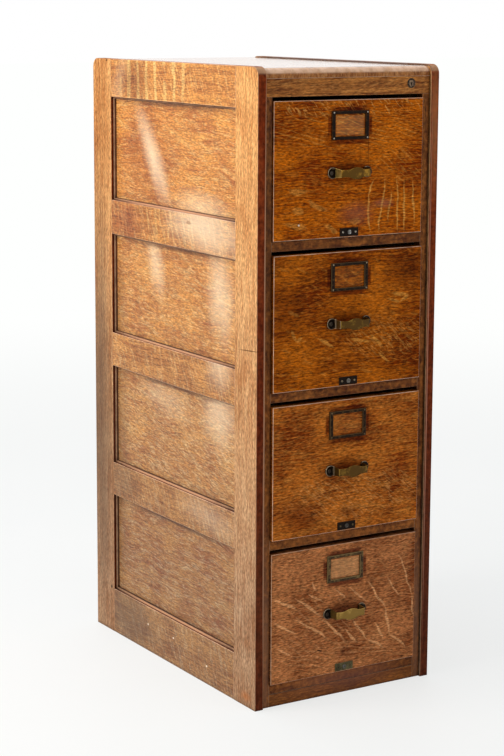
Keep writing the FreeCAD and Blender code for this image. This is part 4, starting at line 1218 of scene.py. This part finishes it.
@dataclass
class StrapPull:
    """A strap bent to a bow, waisted beside its middle, with a dished foot on each end."""

    number: int
    place_y: float
    place_z: float
    finish: PatinatedMetal
    foot_finish: PatinatedMetal
    half: float = 37 * MM
    reach: float = 28 * MM
    corner: float = 26 * MM
    thick: float = 2.4 * MM
    bend: float = 2.6 * MM
    foot_centre: float = 42.5 * MM
    foot_radius: float = 11.5 * MM
    foot_thick: float = 2.5 * MM
    foot_edge: float = 34.6 * MM
    widths: tuple[tuple[float, float], ...] = (
        (0.0, 24.5), (6.0, 23.2), (11.0, 20.0), (17.0, 15.9), (23.0, 14.6), (29.0, 14.9), (35.0, 15.7))
    leg_width: float = 20.5 * MM
    soft: float = 0.7 * MM
    crown: float = 0.35 * MM
    leg_steps: int = 6
    bow_steps: int = 32
    foot_steps: int = 36

    def build(self) -> None:
        """Builds the strap and its feet."""
        body = "drawer_%d" % self.number
        for word, draw, finish in (("strap", self.strap, self.finish), ("feet", self.feet, self.foot_finish)):
            mesh = bmesh.new()
            draw(mesh)
            bmesh.ops.recalc_face_normals(mesh, faces=mesh.faces)
            bmesh.ops.translate(mesh, vec=(0, self.place_y, self.place_z), verts=mesh.verts)
            placed("%s_pull_%s" % (body, word), [mesh], finish, body, body + "_pull")

    def width_at(self, across: float) -> float:
        """Width of the strap in front, smoothed between its named places.

        Args:
            across: Distance from the middle.

        Returns:
            The width.
        """
        there = abs(across) / MM
        for (start, wide), (end, next_wide) in zip(self.widths, self.widths[1:]):
            if there <= end:
                share = (there - start) / (end - start)
                return (wide + (next_wide - wide) * share * share * (3 - 2 * share)) * MM
        return self.widths[-1][1] * MM

    def path(self) -> list[tuple[Vector, Vector, float]]:
        """The strap's middle line from the left foot to the right one.

        Returns:
            For each step its place, its outward side and its width.
        """
        mid = self.half - self.thick / 2
        bow = self.corner - self.thick / 2
        leg = []
        for step in range(self.leg_steps + 1):
            share = step / self.leg_steps
            y = -share * (bow - self.bend)
            wide = self.leg_width + (self.width_at(mid) - self.leg_width) * share
            leg.append((Vector((-mid, y, 0)), Vector((-1, 0, 0)), wide))
        centre = Vector((-mid + self.bend, -bow + self.bend, 0))
        for angle in ARC[1:-1]:
            side = Vector((-math.cos(angle), -math.sin(angle), 0))
            leg.append((centre + side * self.bend, side, self.width_at(centre.x)))
        inner = mid - self.bend
        bulge = self.reach - self.corner
        front = []
        for step in range(self.bow_steps + 1):
            x = -inner + 2 * inner * step / self.bow_steps
            rise = bulge * (1 - (x / inner) ** 2)
            slope = 2 * bulge * x / inner ** 2
            front.append((Vector((x, -bow - rise, 0)), Vector((slope, -1, 0)).normalized(), self.width_at(x)))
        mirrored = [(Vector((-place.x, place.y, 0)), Vector((-side.x, side.y, 0)), wide)
                    for place, side, wide in reversed(leg)]
        return leg + front + mirrored

    def strap(self, mesh: BMesh) -> None:
        """Draws the strap's rounded section along its path.

        Args:
            mesh: The mesh that gets it.
        """
        rings = []
        half, soft = self.thick / 2, self.soft
        for place, side, wide in self.path():
            tall = wide / 2
            ring = []
            for up_sign, out_sign in ((1, 1), (1, -1), (-1, -1), (-1, 1)):
                for turn in reversed(ARC[::2]) if up_sign == out_sign else ARC[::2]:
                    up = up_sign * (tall - soft + soft * math.sin(turn))
                    out = out_sign * (half - soft + soft * math.cos(turn))
                    lift = self.crown * (1 - (up / tall) ** 2) if out > 0 else 0
                    ring.append(mesh.verts.new(place + side * (out + lift - self.crown) + Vector((0, 0, up))))
            rings.append(ring)
        skin(mesh, rings)

    def feet(self, mesh: BMesh) -> None:
        """Draws the dished feet, trimmed where the strap rises from them.

        Args:
            mesh: The mesh that gets them.
        """
        dish = ((0.0, 0.0), (0.0, 0.5), (0.5, 0.85), (1.4, 1.0), (2.4, 0.9), (3.6, 0.66), (5.5, 0.52))
        profile = [(self.foot_radius - inset * MM, self.foot_thick * share) for inset, share in dish]
        profile.append((2.0 * MM, self.foot_thick * 0.5))
        for sign in (-1, 1):
            rings = []
            for radius, tall in profile:
                ring = []
                for step in range(self.foot_steps):
                    angle = math.radians(360 / self.foot_steps * step)
                    x = max(self.foot_centre + radius * math.cos(angle), self.foot_edge)
                    ring.append(mesh.verts.new((sign * x, -tall, radius * math.sin(angle))))
                rings.append(ring)
            skin(mesh, rings)


@dataclass
class Drawer:
    """One drawer with its box, its pull and card frame, its guide rod and follower."""

    number: int
    place_y: float
    place_z: float
    oak: QuarterSawnOak
    strap: PatinatedMetal
    card_frame: PatinatedMetal
    plate: PatinatedMetal
    pins: PatinatedMetal
    pull_rise: float = 132 * MM

    def build(self) -> None:
        """Builds the drawer's pieces."""
        body = "drawer_%d" % self.number
        word = body + "_"
        for board in (
            Worked(word + "front", body, "oak", self.oak, 0.0),
            Worked(word + "box", body, "drawer_wood", BARE),
            Worked(word + "bottom", body, "drawer_wood", BARE, 0.3 * MM),
            Worked(word + "card_frame", body, "aged_brass", self.card_frame, 0.35 * MM, steps=2),
            Worked(word + "rod_plate", body, "dark_bronze", self.plate, 0.2 * MM, steps=2),
            Worked(word + "guide_rod", body, "steel", STEEL, 0.25 * MM, steps=2),
            Worked(word + "follower", body + "_follower_block", "drawer_wood", BARE),
            Worked(word + "strike", body, "steel", STEEL, 0.3 * MM, steps=2),
            Worked(word + "screws", body, "aged_brass", self.pins, 0.15 * MM, steps=2),
        ):
            board.build()
        StrapPull(self.number, self.place_y, self.place_z + self.pull_rise, self.strap, FEET).build()


@dataclass
class Lock:
    """The lock in the top rail: its case, the turning plug and the bar behind the stile."""

    pieces: tuple[Worked, ...] = (
        Worked("lock_case", "cabinet", "aged_brass", LOCK_RIM, 0.3 * MM, steps=2),
        Worked("lock_plug", "lock_plug_turning", "aged_brass", PLUG, 0.2 * MM, steps=2),
        Worked("lock_bar", "lock_bar_lifting", "steel", STEEL, 0.3 * MM, steps=2),
    )

    def build(self) -> None:
        """Builds the lock's pieces."""
        for piece in self.pieces:
            piece.build()


def seen_directly(tree: NodeTree) -> NodeSocket:
    """Tells rays that show the surround from rays that light the object.

    Args:
        tree: The node tree.

    Returns:
        1 for camera, glossy and transmission rays.
    """
    path = add(tree, "LightPath").node
    seen = add(tree, "Math", {0: path.outputs["Is Camera Ray"], 1: path.outputs["Is Glossy Ray"]},
               operation="MAXIMUM")
    return add(tree, "Math", {0: seen, 1: path.outputs["Is Transmission Ray"]}, operation="MAXIMUM")


@dataclass(frozen=True)
class Lamp:
    """A square lamp with soft light. side is in metres and power in watts."""

    name: str
    place: Place
    aim: Place
    side: float
    power: float
    colour: str

    def build(self) -> None:
        """Hangs the lamp."""
        data = bpy.data.lights.new(self.name, "AREA")
        data.energy, data.size = self.power, self.side
        data.color = linear(self.colour)[:3]
        lamp = bpy.data.objects.new(self.name, data)
        lamp.location = self.place
        lamp.rotation_mode = "QUATERNION"
        lamp.rotation_quaternion = (Vector(self.aim) - Vector(self.place)).to_track_quat("-Z", "Y")
        bpy.context.scene.collection.objects.link(lamp)


@dataclass
class Studio:
    """A pale floor, soft lamps and the photograph's camera."""

    lens: float = 94.17
    azimuth: float = -31.777
    elevation: float = 9.657
    roll: float = 0.27
    eye: Place = (-2.2814, -3.6446, 1.4419)
    shift_y: float = -0.0503
    floor_half: float = 40.0
    lamps: tuple[Lamp, ...] = (
        Lamp("window_lamp", (-3.4, 0.4, 2.3), (0.0, 0.0, 0.85), 2.6, 117.0, "#fff6ea"),
        Lamp("ceiling_lamp", (-0.6, 0.6, 3.6), (0.0, 0.0, 0.6), 3.0, 60.0, "#f6f8ff"),
        Lamp("front_lamp", (1.8, -3.6, 2.2), (0.0, 0.0, 0.6), 2.6, 26.0, "#fffaf4"),
    )

    def build(self) -> None:
        """Builds floor, lamps, world and camera."""
        self.floor()
        for lamp in self.lamps:
            lamp.build()
        self.world()
        self.camera()
        log.info("studio: floor, lamps, world and camera")

    def floor(self) -> None:
        """Lays the floor."""
        mesh = bpy.data.meshes.new("floor")
        far = self.floor_half
        mesh.from_pydata([(-far, -far, 0), (far, -far, 0), (far, far, 0), (-far, far, 0)], [], [(0, 1, 2, 3)])
        floor = bpy.data.objects.new("floor", mesh)
        bpy.context.scene.collection.objects.link(floor)
        material, tree = new_tree("painted_floor")
        where = add(tree, "TexCoord", out="Object")
        reach = add(tree, "VectorMath", {0: where}, "Value", operation="LENGTH")
        away = add(tree, "MapRange", {0: reach, 1: 0.8, 2: 5.0, 3: 0.7, 4: 1.0}, **SMOOTH)
        share = add(tree, "Math", {0: seen_directly(tree), 1: away}, operation="MULTIPLY")
        patch = add(tree, "TexNoise", {"Scale": 1.6, "Detail": 6.0, "Vector": where})
        tint = add(tree, "Mix", {0: patch, 6: linear("#dde1e1"), 7: linear("#ecedec")}, 2, **COLOURS)
        matte = add(tree, "BsdfPrincipled", {"Base Color": tint, "Roughness": 0.55})
        pale = add(tree, "Emission", {"Color": linear("#fefffe"), "Strength": 1.0})
        add(tree, "OutputMaterial", {0: add(tree, "MixShader", {0: share, 1: matte, 2: pale})})
        floor.data.materials.append(material)

    def world(self) -> None:
        """Makes a white surround that lights the object gently."""
        world = bpy.data.worlds.new("studio")
        bpy.context.scene.world = world
        world.use_nodes = True
        tree = world.node_tree
        tree.nodes.clear()
        seen = seen_directly(tree)
        soft = add(tree, "Background", {"Color": linear("#f2f5fa"), "Strength": 0.42})
        white = add(tree, "Background", {"Color": (1, 1, 1, 1), "Strength": 1.0})
        add(tree, "OutputWorld", {0: add(tree, "MixShader", {0: seen, 1: soft, 2: white})})

    def camera(self) -> None:
        """Sets up the camera at the photograph's angle."""
        data = bpy.data.cameras.new("camera")
        data.lens, data.shift_y = self.lens, self.shift_y
        camera = bpy.data.objects.new("camera", data)
        turn, tilt, roll = (math.radians(part) for part in (self.azimuth, self.elevation, self.roll))
        back = Vector((math.sin(turn) * math.cos(tilt), -math.cos(turn) * math.cos(tilt), math.sin(tilt)))
        right = Vector((math.cos(turn), math.sin(turn), 0.0))
        up = back.cross(right)
        right, up = right * math.cos(roll) + up * math.sin(roll), up * math.cos(roll) - right * math.sin(roll)
        camera.matrix_world = Matrix.Translation(self.eye) @ Matrix((right, up, back)).transposed().to_4x4()
        bpy.context.scene.collection.objects.link(camera)
        bpy.context.scene.camera = camera
        view = bpy.context.scene.view_settings
        view.view_transform = "Standard"


def main() -> None:
    """Builds the studio and the cabinet, part by part."""
    logging.basicConfig(level=logging.INFO, format="%(message)s")
    Studio().build()
    Carcass().build()
    Lock().build()
    drawers = zip(DRAWER_PLACES, DRAWER_OAK, STRAPS, FRAMES, PLATES, PINS)
    for number, ((place_y, place_z), *finishes) in enumerate(drawers, start=1):
        Drawer(number, place_y * MM, place_z * MM, *finishes).build()


if __name__ == "__main__":
    main()
